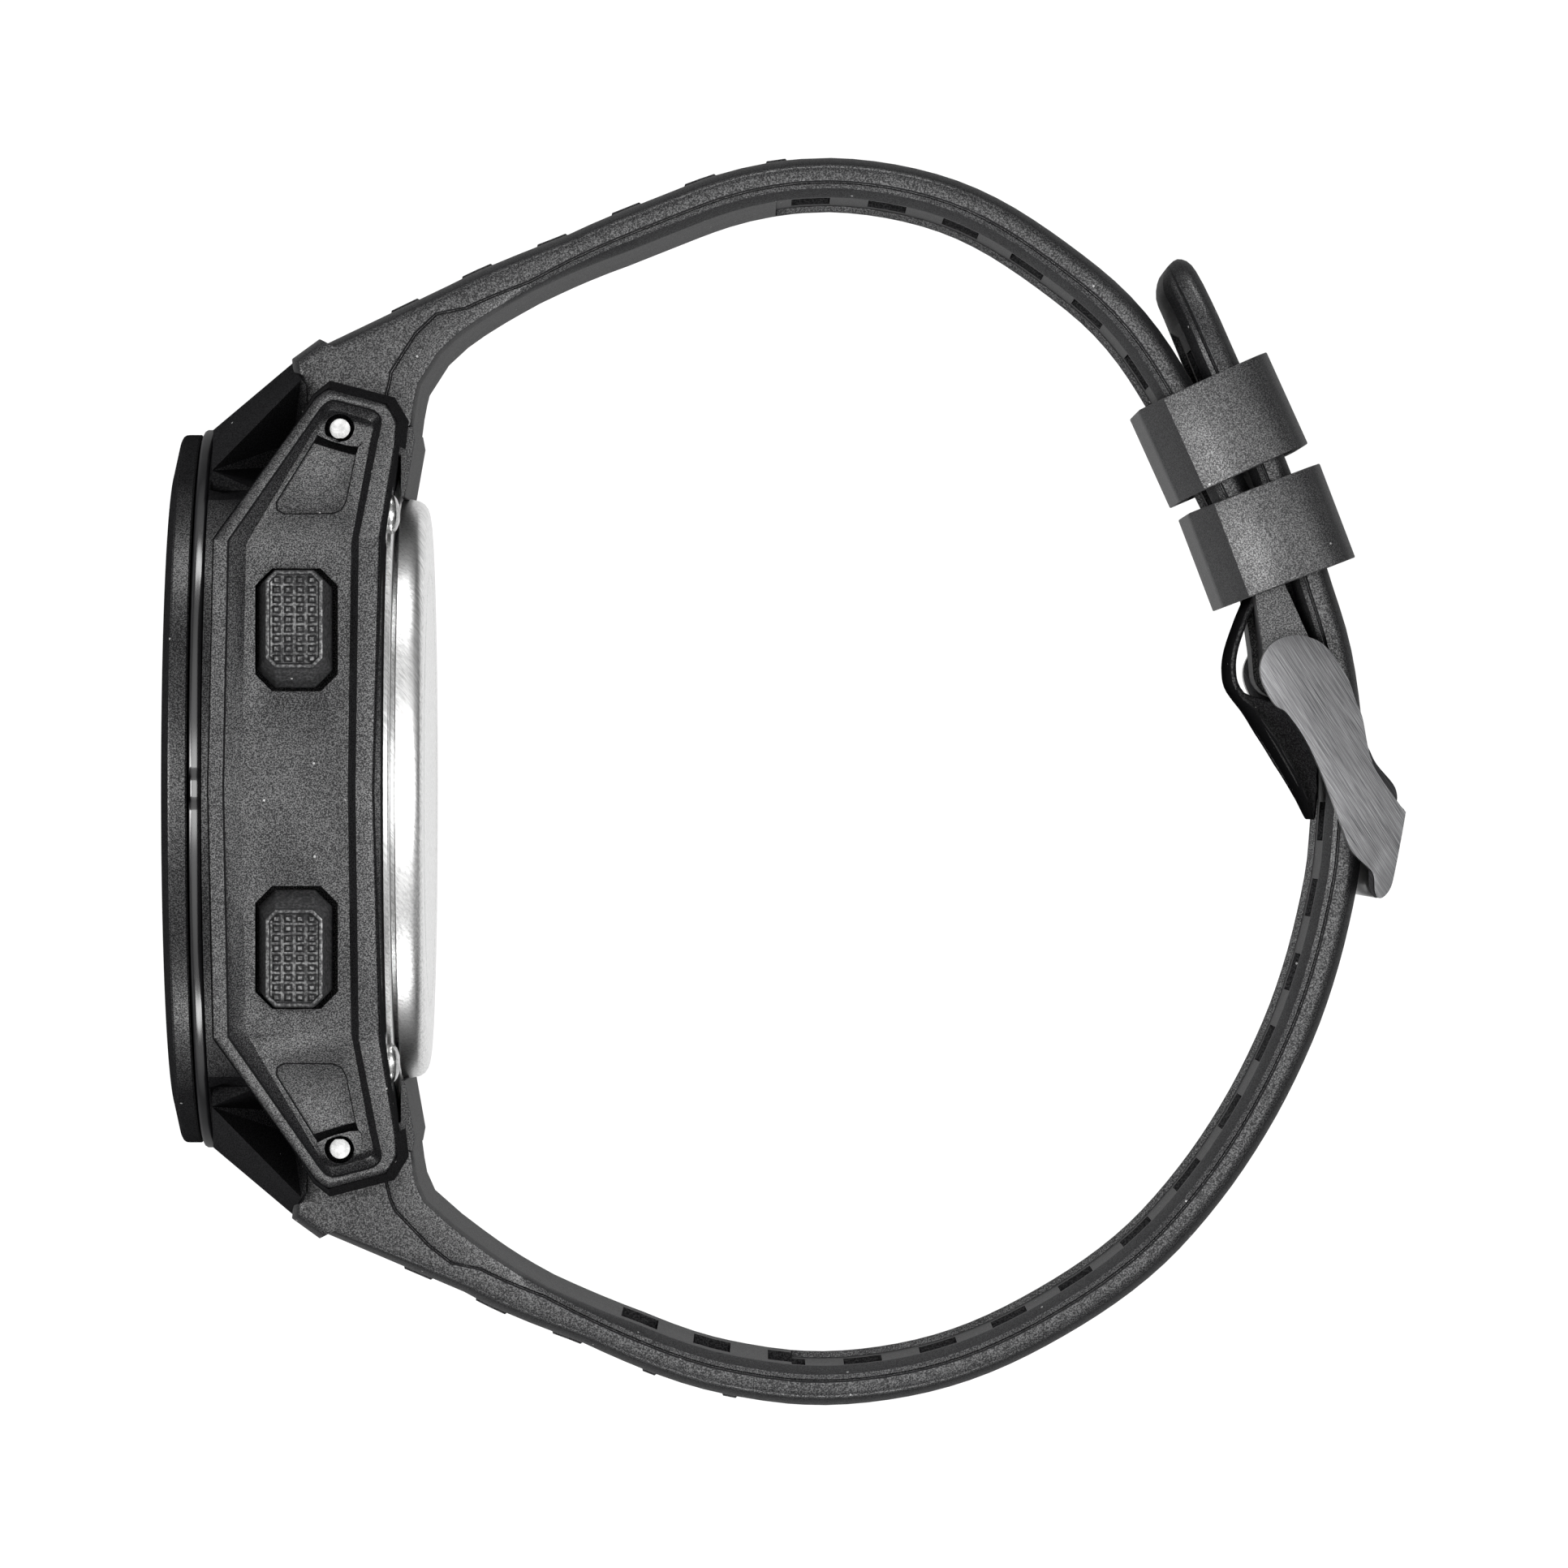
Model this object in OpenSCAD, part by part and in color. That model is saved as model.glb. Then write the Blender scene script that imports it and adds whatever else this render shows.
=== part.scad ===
// Digital sports watch, buckled as on a wrist. Millimetres.
// +X runs from the dial to the back, +Y to 12 o'clock, +Z to 3 o'clock.
// The origin is the middle of the case back, where it meets the wrist.

/* [Head] */
// Height of the watch head, from the front of the bezel to the case back
case_h = 15.3; // [14.8:0.1:17]
// Outer diameter of the bezel
bezel_d = 42.8; // [42:0.1:43]
// Height of the bezel
bezel_h = 1.6; // [1.4:0.1:1.8]
// Width of the flat front face of the bezel
bezel_flat = 1.9; // [1.2:0.1:2.4]
// Outer diameter of the gloss trim ring
ring_d = 43.4; // [43:0.1:44]
// Height of the gloss trim ring
ring_h = 0.66; // [0.5:0.02:0.7]
// Diameter of the lens
lens_d = 34.8; // [33.5:0.1:35]
// Thickness of the lens
lens_t = 1.5; // [1.2:0.1:1.6]
// Width across the two side guards
guard_span = 47; // [46:0.1:50]
// Depth of the recess in a side guard
recess_depth = 1.2; // [0.8:0.1:1.4]
// Diameter of the bore that holds the module
bore_d = 34; // [33.8:0.1:34.4]

/* [Case back] */
// Thickness of the case back's flange
flange_t = 0.7; // [0.6:0.05:0.9]
// Diameter of the case back's flange
flange_d = 39; // [38:0.1:39.4]
// Diameter of the raised cup
cup_d = 34.6; // [33.8:0.1:34.8]
// Wall of the case back
back_wall = 0.8; // [0.6:0.05:1]
// Diameter of a case back screw's head
screw_head_d = 2.4; // [2:0.1:2.6]
// Height of a case back screw's head
screw_head_h = 0.93; // [0.7:0.01:1]
// Diameter of a case back screw's thread
screw_d = 1.2; // [1:0.1:1.4]

/* [Buttons] */
// Length of a button's pad
pad_len = 5.65; // [4.6:0.05:5.8]
// Width of a button's pad
pad_w = 3.3; // [2.8:0.1:3.6]
// Distance of the button stems from the 3 to 9 o'clock line
button_y = 9.6; // [9:0.1:10]
// Diameter of a button's stem
stem_d = 1.6; // [1.4:0.1:1.8]
// Distance that a button travels
button_travel = 0.6; // [0.4:0.05:0.7]

/* [Strap] */
// Width of the strap
strap_w = 22; // [20:0.5:22]
// Thickness of the strap
strap_t = 2.1; // [1.8:0.05:2.3]
// Depth of the recess along the strap's inner face
strap_recess = 0.35; // [0.2:0.05:0.5]
// Width of the rail along each edge of the inner face
rail_w = 1.4; // [1:0.1:2]
// Distance from the case back to the far side of the wrist opening
loop_depth = 54; // [52:0.5:58]
// Height of the wrist opening
loop_h = 71; // [69:0.5:74]
// Pitch of the adjustment slots
slot_pitch = 4.65; // [4.4:0.05:5]
// Length of an adjustment slot along the strap
slot_len = 2.3; // [2.2:0.05:2.5]
// Width of an adjustment slot across the strap
slot_w = 10; // [9.5:0.1:12]
// Diameter of a spring bar
spring_bar_d = 1.5; // [1.3:0.05:1.8]
// Diameter of a spring bar's tips
bar_tip_d = 1.2; // [1:0.05:1.2]

/* [Buckle and keepers] */
// Diameter of the buckle bar
buckle_bar_d = 1.5; // [1.3:0.05:1.6]
// Thickness of a buckle arm
arm_t = 1.9; // [1.5:0.1:2.2]
// Width of the buckle tongue
tongue_w = 8.4; // [6:0.1:8.8]
// Length of a keeper along the strap
keeper_len = 6; // [5:0.1:6.1]
// Wall of a keeper
keeper_wall = 1.15; // [0.9:0.05:1.3]

/* [Hidden] */

$fn = 96;
eps = 0.01;
fit = 0.05; // clearance round pins and stems
seat = 0.1; // clearance round fixed inner pieces
free_gap = 0.3; // clearance between pieces that move
strap_gap = 0.25; // clearance between the strap's two layers

// Depths below the front of the bezel
front_x = -case_h;
ring_x = front_x + bezel_h + 0.13;
case_top_x = ring_x + ring_h + 0.11;
case_end_x = -2.3;
collar_r = 18.9;
lens_x = front_x + 0.25;
gasket_t = 0.25;
ledge_x = lens_x + lens_t + gasket_t;
stack_x = ledge_x + 1.2;
mask_t = 0.4;
lcd_t = 1.5;
backlight_t = 0.4;
lcd_x = stack_x + mask_t + seat;
lcd_end_x = lcd_x + lcd_t;
board_x = lcd_end_x + 2.6;
board_t = 0.8;
frame_end_x = board_x + board_t + 1.4;
battery_x = frame_end_x - 0.9;
battery_t = 3.2;
window = [14, 22];
lcd_size = [17, 25];
module_r = bore_d / 2 - seat;
module_flat = 24.4;
cup_bore_d = cup_d - 5.2;
ear_drop = 0.7;
ear_t = ear_drop + 0.1;
screw_reach = flange_d / 2 + 1.41;
screw_turn = 38.8; // angle between a screw and 12 or 6 o'clock
gasket_r = bore_d / 2 + 0.45;

// Side guards
guard_z = guard_span / 2;
guard_flat_y = 14.7;
lug_end_y = 23.9;
lug_end_z = 15.6;
lug_gap = strap_w / 2 + 0.25;

// Spring bars and buttons
bar_x = -4.9;
bar_y = 21.3;
bar_end_z = lug_end_z - 0.2;
button_x = -7.2;
pad_shift = 0.3;
pocket = [4.85, 7.2];
pocket_floor_z = guard_z - 3.9;
cap_z = pocket_floor_z + button_travel + 0.7;
pad_top_z = guard_z - 0.2;
shoulder_z = 14.3;
clip_t = 0.3;
clip_z = shoulder_z - fit - clip_t;
stem_end_z = clip_z - 0.3;
seal_z = 16.6;
seal_d = 0.5;

// The wrist opening's outline: fractions of loop_depth and of half of loop_h
lug_root = [bar_x + 4.6, bar_y + 2.8];
loop_shape = [[0.04, 0.764], [0.157, 0.868], [0.26, 0.936], [0.362, 0.99], [0.468, 1.003], [0.587, 0.963],
    [0.696, 0.862], [0.778, 0.744], [0.859, 0.535], [0.92, 0.338], [0.966, 0.183], [0.998, -0.04],
    [0.984, -0.22], [0.944, -0.411], [0.877, -0.6], [0.789, -0.761], [0.685, -0.873],
    [0.574, -0.949], [0.45, -0.98], [0.337, -0.962], [0.241, -0.915], [0.12, -0.826],
    [0.04, -0.744]];
route = concat(
    [lug_root - [0.5, 3], lug_root],
    [for (p = loop_shape) [p[0] * loop_depth, p[1] * loop_h / 2]],
    [[lug_root[0], -lug_root[1]], [lug_root[0] - 0.5, 3 - lug_root[1]]]);

function spline(p0, p1, p2, p3, t) = 0.5 * (2 * p1 + (p2 - p0) * t
    + (2 * p0 - 5 * p1 + 4 * p2 - p3) * t * t + (3 * p1 - p0 - 3 * p2 + p3) * t * t * t);
span_steps = 5;
line = [for (i = [1:len(route) - 3], k = [0:span_steps - 1])
    spline(route[i - 1], route[i], route[i + 1], route[i + 2], k / span_steps)];
count = len(line);
runs = [for (i = 0, s = 0; i < count;
    s = s + (i < count - 1 ? norm(line[i + 1] - line[i]) : 0), i = i + 1) s];
x_along = [for (i = [0:count - 1]) [runs[i], line[i][0]]];
y_along = [for (i = [0:count - 1]) [runs[i], line[i][1]]];
loop_len = runs[count - 1];

// Place and heading on the wrist opening's outline, a distance s from the 12 o'clock lug
function place(s) = [lookup(s, x_along), lookup(s, y_along)];
function heading(s) = let (d = place(s + 0.8) - place(s - 0.8)) atan2(d[1], d[0]);
function off(s, out) = place(s) + out * [cos(heading(s) + 90), sin(heading(s) + 90)];
// The distance at which the outline, on its far side, comes down to height y
function reach_y(y) = lookup(-y, [for (i = [0:count - 1]) if (line[i][0] > loop_depth * 0.7)
    [-line[i][1], runs[i]]]);
// A strip along the outline between the offsets inner(s) and outer(s)
function strip(s0, s1, inner, outer, n) = concat(
    [for (i = [0:n]) let (s = s0 + (s1 - s0) * i / n) off(s, inner(s))],
    [for (i = [n:-1:0]) let (s = s0 + (s1 - s0) * i / n) off(s, outer(s))]);

// The strap's two halves
taper_len = 12;
root_t = strap_t + 1.4;
edge_drop = 0.45;
edge_w = 0.55;
end_r = 2.1;
pin_s = reach_y(loop_h / 10);
buckle_pin = place(pin_s) - [0.2, 0];
neck_s = pin_s - 5.07;
ride_s = pin_s - 5.5;
land_s = pin_s + 9.85;
tip_s = pin_s - 23.3;
tip_spring_r = 18;
root_end_s = 5;
lip_x = case_end_x + flange_t + 0.15; // the lip of a strap's end lies over the flange
lip_end_y = cup_d / 2 + 0.1;
lip_root_y = flange_d / 2 + 0.4;
pad_first = 6.1;
pad_counts = [5, 4]; // at 12 and at 6 o'clock, past the one on the root
pad_size = [2, 12, 0.5];
function half_t(s) = strap_t + (root_t - strap_t) * max(0, 1 - s / taper_len);
function lift(s) = s > land_s ? 0 : (strap_t + strap_gap) * min(1, (land_s - s) / (land_s - ride_s))
    + pow(max(0, keeper_upper_s - s), 2) / (2 * tip_spring_r);
function long_in(s) = lift(s);
function long_out(s) = lift(s) + half_t(loop_len - s);

// Buckle and keepers
frame_z = strap_w / 2 + 0.4;
tube_r = buckle_bar_d / 2 + 0.6;
arm_r = 2.08;
slot_home = pin_s + 4.68;
keeper_upper_s = pin_s - 14.85;
keeper_lower_s = pin_s - 8.04;
keeper_in = 0.95;
keeper_out = 2 * strap_t + strap_gap + 0.8;
keeper_r = 1.5;

RESIN = [0.16, 0.16, 0.17];
STEEL = [0.75, 0.75, 0.74];
GUNMETAL = [0.36, 0.36, 0.37];

// Local z runs from the dial to the back, and local y to 12 o'clock
module along_axis(x = 0) {
    translate([x, 0, 0]) rotate([0, 90, 0]) children();
}

module disc(x, h, r) {
    along_axis(x) cylinder(h = h, r = r);
}

module hoop(x, h, r_in, r_out) {
    along_axis(x) difference() {
        cylinder(h = h, r = r_out);
        translate([0, 0, -1]) cylinder(h = h + 2, r = r_in);
    }
}

// A box that is centred on the dial's axis: size is along Z and along Y
module plate(x, h, size) {
    translate([x, -size[1] / 2, -size[0] / 2]) cube([h, size[1], size[0]]);
}

// A prism along Z from an outline in X and Y
module across(z0, z1, outline) {
    translate([0, 0, z0]) linear_extrude(z1 - z0) polygon(outline);
}

module both_ends() {
    children();
    mirror([0, 1, 0]) children();
}

module both_sides() {
    children();
    mirror([0, 0, 1]) children();
}

// A screw's own axis starts where its ear on the case back starts
module at_screws() {
    both_ends() both_sides()
        translate([case_end_x - ear_drop, screw_reach * cos(screw_turn), screw_reach * sin(screw_turn)])
            rotate([0, 90, 0]) children();
}

module at_buttons() {
    both_ends() both_sides() translate([button_x, button_y, 0]) children();
}

module bezel() {
    color(RESIN) along_axis(front_x) difference() {
        rotate_extrude() polygon([[lens_d / 2 + fit, 0], [lens_d / 2 + fit + bezel_flat, 0],
            [bezel_d / 2 - 0.1, 0.46], [bezel_d / 2, 0.6], [bezel_d / 2, bezel_h],
            [lens_d / 2 + fit, bezel_h]]);
    }
}

module trim_ring() {
    notch = 1.8;
    color([0.05, 0.05, 0.05]) difference() {
        hoop(ring_x, ring_h, collar_r + fit, ring_d / 2);
        for (side = [-1, 1])
            translate([ring_x - 1, -notch / 2, side * ring_d / 2 - 0.35])
                cube([ring_h + 2, notch, 0.7]);
    }
}

module lens() {
    color([0.55, 0.6, 0.62]) disc(lens_x, lens_t, lens_d / 2);
}

module lens_gasket() {
    color([0.1, 0.1, 0.1]) hoop(lens_x + lens_t, gasket_t, lens_d / 2 - 1.5, lens_d / 2 - 0.1);
}

module dial_mask() {
    color([0.1, 0.1, 0.12]) difference() {
        disc(stack_x, mask_t, module_r);
        plate(stack_x - 1, mask_t + 2, window);
    }
}

module lcd_panel() {
    color([0.6, 0.64, 0.55]) plate(lcd_x, lcd_t, lcd_size);
}

module backlight_panel() {
    color([0.7, 0.85, 0.8]) plate(lcd_end_x + seat, backlight_t, lcd_size - [4, 2]);
}

module contact_strips() {
    strip_w = 1.4;
    color([0.85, 0.45, 0.5]) both_sides()
        translate([lcd_end_x, -lcd_size[1] / 2 + 1, lcd_size[0] / 2 - strip_w])
            cube([board_x - lcd_end_x, lcd_size[1] - 2, strip_w]);
}

module module_frame() {
    color([0.2, 0.2, 0.22]) difference() {
        intersection() {
            disc(stack_x + mask_t, frame_end_x - stack_x - mask_t, module_r);
            plate(front_x, case_h, [module_flat, bore_d + 2]);
        }
        plate(front_x, lcd_end_x - front_x + eps, lcd_size + [2, 2] * seat);
        plate(lcd_end_x, board_x - lcd_end_x + eps, lcd_size + [2, -2] * seat);
        plate(board_x, case_h, [module_flat - 1.6, 23]);
    }
}

module circuit_board() {
    color([0.1, 0.4, 0.2]) plate(board_x, board_t, [module_flat - 1.8, 22.8]);
}

module main_chip() {
    color([0.05, 0.05, 0.05]) plate(board_x - 1, 1, [7, 7]);
}

module quartz_can() {
    color(STEEL) translate([board_x - 0.9, 6, -2.5]) rotate([0, 0, 90]) rotate([0, 90, 0])
        cylinder(h = 5, r = 0.85);
}

module battery() {
    color([0.8, 0.8, 0.8]) along_axis(battery_x) {
        cylinder(h = battery_t - 0.6, r = 10);
        translate([0, 0, battery_t - 0.6]) cylinder(h = 0.6, r = 8.8);
    }
}

module battery_clip() {
    clip_w = 4;
    top_x = battery_x + battery_t;
    color([0.82, 0.8, 0.7]) {
        translate([top_x, -11, -clip_w / 2]) cube([0.25, 22, clip_w]);
        for (side = [-1, 1])
            translate([board_x + board_t, side * 10.75 - 0.25, -clip_w / 2])
                cube([top_x - board_x - board_t + 0.25, 0.5, clip_w]);
    }
}

module piezo_buzzer() {
    color([0.85, 0.7, 0.3]) {
        disc(-back_wall - 0.2, 0.2, 11);
        color([0.9, 0.9, 0.88]) disc(-back_wall - 0.35, 0.15, 7.5);
    }
}

// The case seen from the front, drawn in by inset
function front_outline(inset) = let (z = guard_z - inset, e = lug_end_z - inset * 0.55,
    y = lug_end_y - inset * 0.55, f = guard_flat_y - inset * 0.3)
    [[z, -f], [z, f], [e, y], [-e, y], [-z, f], [-z, -f], [-e, -y], [e, -y]];

module front_prism(inset) {
    along_axis(front_x) linear_extrude(case_h) rotate(180) polygon(front_outline(inset));
}

guard_outline = [[-12.4, 0], [-12.07, 14.6], [-6.3, 23.2], [-5.6, 23.7], [-2.1, 22.75], [-1.45, 21.7],
    [-1.5, 20.3], [-2.25, 14.7], [-2.65, 0]];
panel_outline = [[-11.4, 0], [-11.1, 14.5], [-5.45, 22.85], [-2.9, 22.15], [-2.5, 21.6],
    [-3.6, 14.7], [-3.8, 0]];
pad_outline = [[-6.3, 20.0], [-8.6, 16.7], [-8.3, 16.1], [-4.8, 16.1], [-4.4, 16.9], [-3.8, 19.4]];
hood_outline = [[case_top_x, 0], [case_top_x, 21.5], [-8.05, 25.5], [-7.75, 25.1], [-7.75, 0]];
crease_outline = [[case_top_x + 0.2, 0], [case_top_x + 0.2, 18.9], [-7.3, 24.3], [-7, 24], [-7, 0]];

module guards() {
    difference() {
        intersection() {
            both_ends() across(-guard_z, guard_z, guard_outline);
            front_prism(0);
        }
        difference() {
            both_ends() across(-guard_z - 1, guard_z + 1, panel_outline);
            front_prism(recess_depth);
        }
        difference() {
            both_ends() across(-guard_z, guard_z, pad_outline);
            front_prism(recess_depth + 0.35);
        }
    }
}

module hood() {
    hull() {
        across(-7, 7, hood_outline);
        across(-lug_gap - 1.6, lug_gap + 1.6, crease_outline);
    }
}

// The room that the strap's end takes between the lugs
module strap_room() {
    r = end_r + free_gap;
    translate([bar_x, bar_y, -lug_gap]) cylinder(h = 2 * lug_gap, r = r);
    translate([bar_x, bar_y - 1.7, -lug_gap]) cube([10, 10, 2 * lug_gap]);
    across(-lug_gap, lug_gap, [[bar_x - r, bar_y], [bar_x - r, 24], [-7.6, 24.9], [-7.6, 30], [0, 30],
        [0, bar_y]]);
}

// An outline with its four corners cut off
module cut_corners(size, cut) {
    x = size[0] / 2;
    y = size[1] / 2;
    polygon([[-x, cut - y], [-x, y - cut], [cut - x, y], [x - cut, y], [x, y - cut], [x, cut - y],
        [x - cut, -y], [cut - x, -y]]);
}

module button_bore() {
    translate([0, 0, stem_end_z - 3]) cylinder(h = guard_z, r = stem_d / 2 + fit);
    translate([0, 0, stem_end_z - 3]) cylinder(h = shoulder_z - stem_end_z + 3, r = 1.75);
    translate([0, 0, seal_z - seal_d / 2 - fit]) cylinder(h = seal_d + 2 * fit, r = stem_d / 2 + seal_d);
    translate([0, -pad_shift, pocket_floor_z]) linear_extrude(guard_z) cut_corners(pocket, 1);
}

module case_body() {
    color(RESIN) difference() {
        union() {
            guards();
            disc(case_top_x, case_end_x - case_top_x, ring_d / 2 + 0.2);
            both_ends() hood();
            disc(front_x + bezel_h, case_top_x - front_x - bezel_h + eps, collar_r);
        }
        disc(front_x, case_h, lens_d / 2 - 1.7);
        disc(front_x, ledge_x - front_x, lens_d / 2 + fit);
        disc(stack_x, case_h, bore_d / 2);
        disc(case_end_x, case_h, flange_d / 2 + seat);
        hoop(case_end_x - 0.6, 2, gasket_r, gasket_r + 0.8);
        both_ends() strap_room();
        both_ends() translate([bar_x, bar_y, -guard_z]) cylinder(h = guard_span, r = bar_tip_d / 2 + fit);
        at_buttons() button_bore();
        at_screws() translate([0, 0, -3.5]) cylinder(h = 5, r = screw_d / 2 + fit);
        at_screws() cylinder(h = 4, r = screw_head_d / 2 + 0.8);
    }
}

module back_gasket() {
    color([0.12, 0.12, 0.12]) hoop(case_end_x - 0.55, 0.55, gasket_r + 0.1, gasket_r + 0.7);
}

module case_back() {
    ear_r = screw_head_d / 2 + 0.6;
    color(STEEL) difference() {
        union() {
            disc(case_end_x, flange_t, flange_d / 2);
            at_screws() cylinder(h = ear_t, r = ear_r);
            along_axis(0) rotate_extrude() polygon([[0, case_end_x], [cup_d / 2, case_end_x],
                [cup_d / 2, case_end_x + flange_t], [cup_d / 2 - 0.7, -0.55], [cup_d / 2 - 1, -0.2],
                [cup_d / 2 - 1.5, 0], [0, 0]]);
        }
        disc(case_end_x - 1, 1 - case_end_x - back_wall, cup_bore_d / 2);
        at_screws() translate([0, 0, -1]) cylinder(h = 4, r = screw_d / 2 + fit);
    }
}

module case_back_screws() {
    color(STEEL) at_screws() difference() {
        union() {
            translate([0, 0, ear_t]) cylinder(h = screw_head_h, r = screw_head_d / 2);
            translate([0, 0, -3]) cylinder(h = 3 + ear_t, r = screw_d / 2);
        }
        translate([0, 0, ear_t + screw_head_h - 0.4]) cylinder(h = 1, r = 0.6, $fn = 6);
    }
}

// A button points along +Z from its own axis, with its pad set towards 12 or 6 o'clock
module button() {
    skirt = [pad_w + 0.7, pad_len + 0.9];
    studs = [4, 9];
    pitch = [pad_w / (studs[0] + 0.6), pad_len / (studs[1] + 0.4)];
    translate([0, 0, stem_end_z]) cylinder(h = cap_z - stem_end_z + eps, r = stem_d / 2);
    translate([0, -0.05, cap_z]) linear_extrude(1.1) cut_corners(skirt, 0.8);
    translate([-pad_w / 2, pad_shift / 2 - pad_len / 2, cap_z])
        cube([pad_w, pad_len, pad_top_z - 0.25 - cap_z]);
    for (i = [0:studs[0] - 1], k = [0:studs[1] - 1])
        translate([(i - (studs[0] - 1) / 2) * pitch[0], (k - (studs[1] - 1) / 2) * pitch[1]
            + pad_shift / 2, pad_top_z - 0.25])
            translate([-0.22, -0.18, -eps]) cube([0.44, 0.36, 0.25]);
}

module clip() {
    translate([0, 0, clip_z]) difference() {
        cylinder(h = clip_t, r = 1.4);
        translate([0, 0, -1]) cylinder(h = 2, r = stem_d / 2);
    }
}

// side is +1 at 3 o'clock and -1 at 9 o'clock; end is +1 towards 12 and -1 towards 6 o'clock
module at_button(side, end) {
    mirror([0, 0, side > 0 ? 0 : 1]) mirror([0, end > 0 ? 0 : 1, 0])
        translate([button_x, button_y, 0]) children();
}

module start_button() {
    color(RESIN) at_button(1, 1) button();
}

module reset_button() {
    color(RESIN) at_button(1, -1) button();
}

module light_button() {
    color(RESIN) at_button(-1, 1) button();
}

module mode_button() {
    color(RESIN) at_button(-1, -1) button();
}

module start_clip() {
    color(STEEL) at_button(1, 1) clip();
}

module reset_clip() {
    color(STEEL) at_button(1, -1) clip();
}

module light_clip() {
    color(STEEL) at_button(-1, 1) clip();
}

module mode_clip() {
    color(STEEL) at_button(-1, -1) clip();
}

module return_spring() {
    translate([0, 0, pocket_floor_z]) difference() {
        cylinder(h = cap_z - pocket_floor_z, r = stem_d / 2 + 0.5);
        translate([0, 0, -1]) cylinder(h = 4, r = stem_d / 2 + 0.2);
    }
}

module start_spring() {
    color(STEEL) at_button(1, 1) return_spring();
}

module reset_spring() {
    color(STEEL) at_button(1, -1) return_spring();
}

module light_spring() {
    color(STEEL) at_button(-1, 1) return_spring();
}

module mode_spring() {
    color(STEEL) at_button(-1, -1) return_spring();
}

module button_seals() {
    color([0.1, 0.1, 0.1]) at_buttons() translate([0, 0, seal_z])
        rotate_extrude() translate([stem_d / 2 + seal_d / 2, 0]) circle(d = seal_d - 0.04, $fn = 24);
}

module spring_bar() {
    color(STEEL) translate([bar_x, bar_y, 0]) both_sides() {
        cylinder(h = bar_end_z, r = bar_tip_d / 2);
        cylinder(h = lug_gap - 0.4, r = spring_bar_d / 2);
    }
}

module spring_bar_12h() {
    spring_bar();
}

module spring_bar_6h() {
    mirror([0, 1, 0]) spring_bar();
}

// The strap's end at the case: end is +1 at 12 o'clock and -1 at 6 o'clock
function from_end(end, s) = end > 0 ? s : loop_len - s;
function root_shoulder(end) = [-6.2, end * 26.5];
function root_edge(end, drop) = off(from_end(end, root_end_s), half_t(root_end_s) - drop);
function root_outline(end, drop) = concat(
    [[-7.5, end * 25.2], root_shoulder(end) - [0, end * drop], root_edge(end, drop)],
    [for (s = [root_end_s:-1:0]) off(from_end(end, s), 0)],
    [for (p = [lug_root - [0.45, 2.5], lug_root - [0.3, 3.3], [lip_x + 0.25, lip_end_y],
        [lip_x, lip_end_y], [lip_x, lip_root_y], [bar_x + 2, lip_root_y], [bar_x, bar_y - end_r],
        [bar_x - end_r, bar_y], [bar_x - end_r, 24]]) [p[0], end * p[1]]]);

module strap_root(end) {
    translate([bar_x, end * bar_y, -strap_w / 2]) cylinder(h = strap_w, r = end_r);
    across(-strap_w / 2, strap_w / 2, root_outline(end, edge_drop));
    across(edge_w - strap_w / 2, strap_w / 2 - edge_w, root_outline(end, 0));
}

module strap_layers(s0, s1, inner, outer, n) {
    across(-strap_w / 2, strap_w / 2, strip(s0, s1, inner, function (s) outer(s) - edge_drop, n));
    across(edge_w - strap_w / 2, strap_w / 2 - edge_w, strip(s0, s1, inner, outer, n));
}

module inner_recess(s0, s1, inner, n) {
    inside = strap_w / 2 - rail_w;
    across(-inside, inside, strip(s0, s1, function (s) inner(s) - 1,
        function (s) inner(s) + strap_recess, n));
}

module slots(first, step, number) {
    for (i = [0:number - 1]) {
        s = first + i * step;
        translate(off(s, 0)) rotate(heading(s)) translate([-slot_len / 2, -3, -slot_w / 2])
            cube([slot_len, 12, slot_w]);
    }
}

module outer_pad() {
    translate([-pad_size[0] / 2, -0.3, -pad_size[1] / 2])
        cube([pad_size[0], pad_size[2] + 0.3, pad_size[1]]);
}

module outer_pads(end) {
    a = root_shoulder(end);
    b = root_edge(end, 0);
    slope = atan2(b[1] - a[1], b[0] - a[0]);
    from_edge = slot_pitch - pad_first + root_end_s;
    translate(b - from_edge * [cos(slope), sin(slope)]) rotate(slope) mirror([0, end > 0 ? 0 : 1, 0]) outer_pad();
    for (i = [0:pad_counts[end > 0 ? 0 : 1] - 1]) {
        s = pad_first + i * slot_pitch;
        translate(off(from_end(end, s), half_t(s))) rotate(heading(from_end(end, s))) outer_pad();
    }
}

// The flap that keeps the buckle off the wrist
flap_outline = concat(
    [off(neck_s - 0.4, 0)],
    [for (p = [[-2.75, 3.3], [-3.3, 1.4], [-3.45, 0], [-3.15, -1.2], [-2.1, -2.7], [-0.6, -5],
        [0.75, -7.4], [1.4, -9]]) buckle_pin + p],
    [for (p = [[1.7, -8.9], [1.25, -7.3], [-0.05, -4.8], [-1.55, -2.4], [-2.45, -1.1], [-2.7, 0],
        [-2.5, 1.3], [-1.7, 2.5]]) buckle_pin + p],
    [off(neck_s - 1, strap_t * 0.8)]);
neck_outline = [off(neck_s - 2, 0.2), buckle_pin + [-1.25, 2.5], buckle_pin + [-tube_r, 0.4],
    buckle_pin + [0.2, -tube_r + 0.1], buckle_pin + [tube_r, 0.3], off(neck_s, strap_t),
    off(neck_s - 2, strap_t)];

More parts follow.
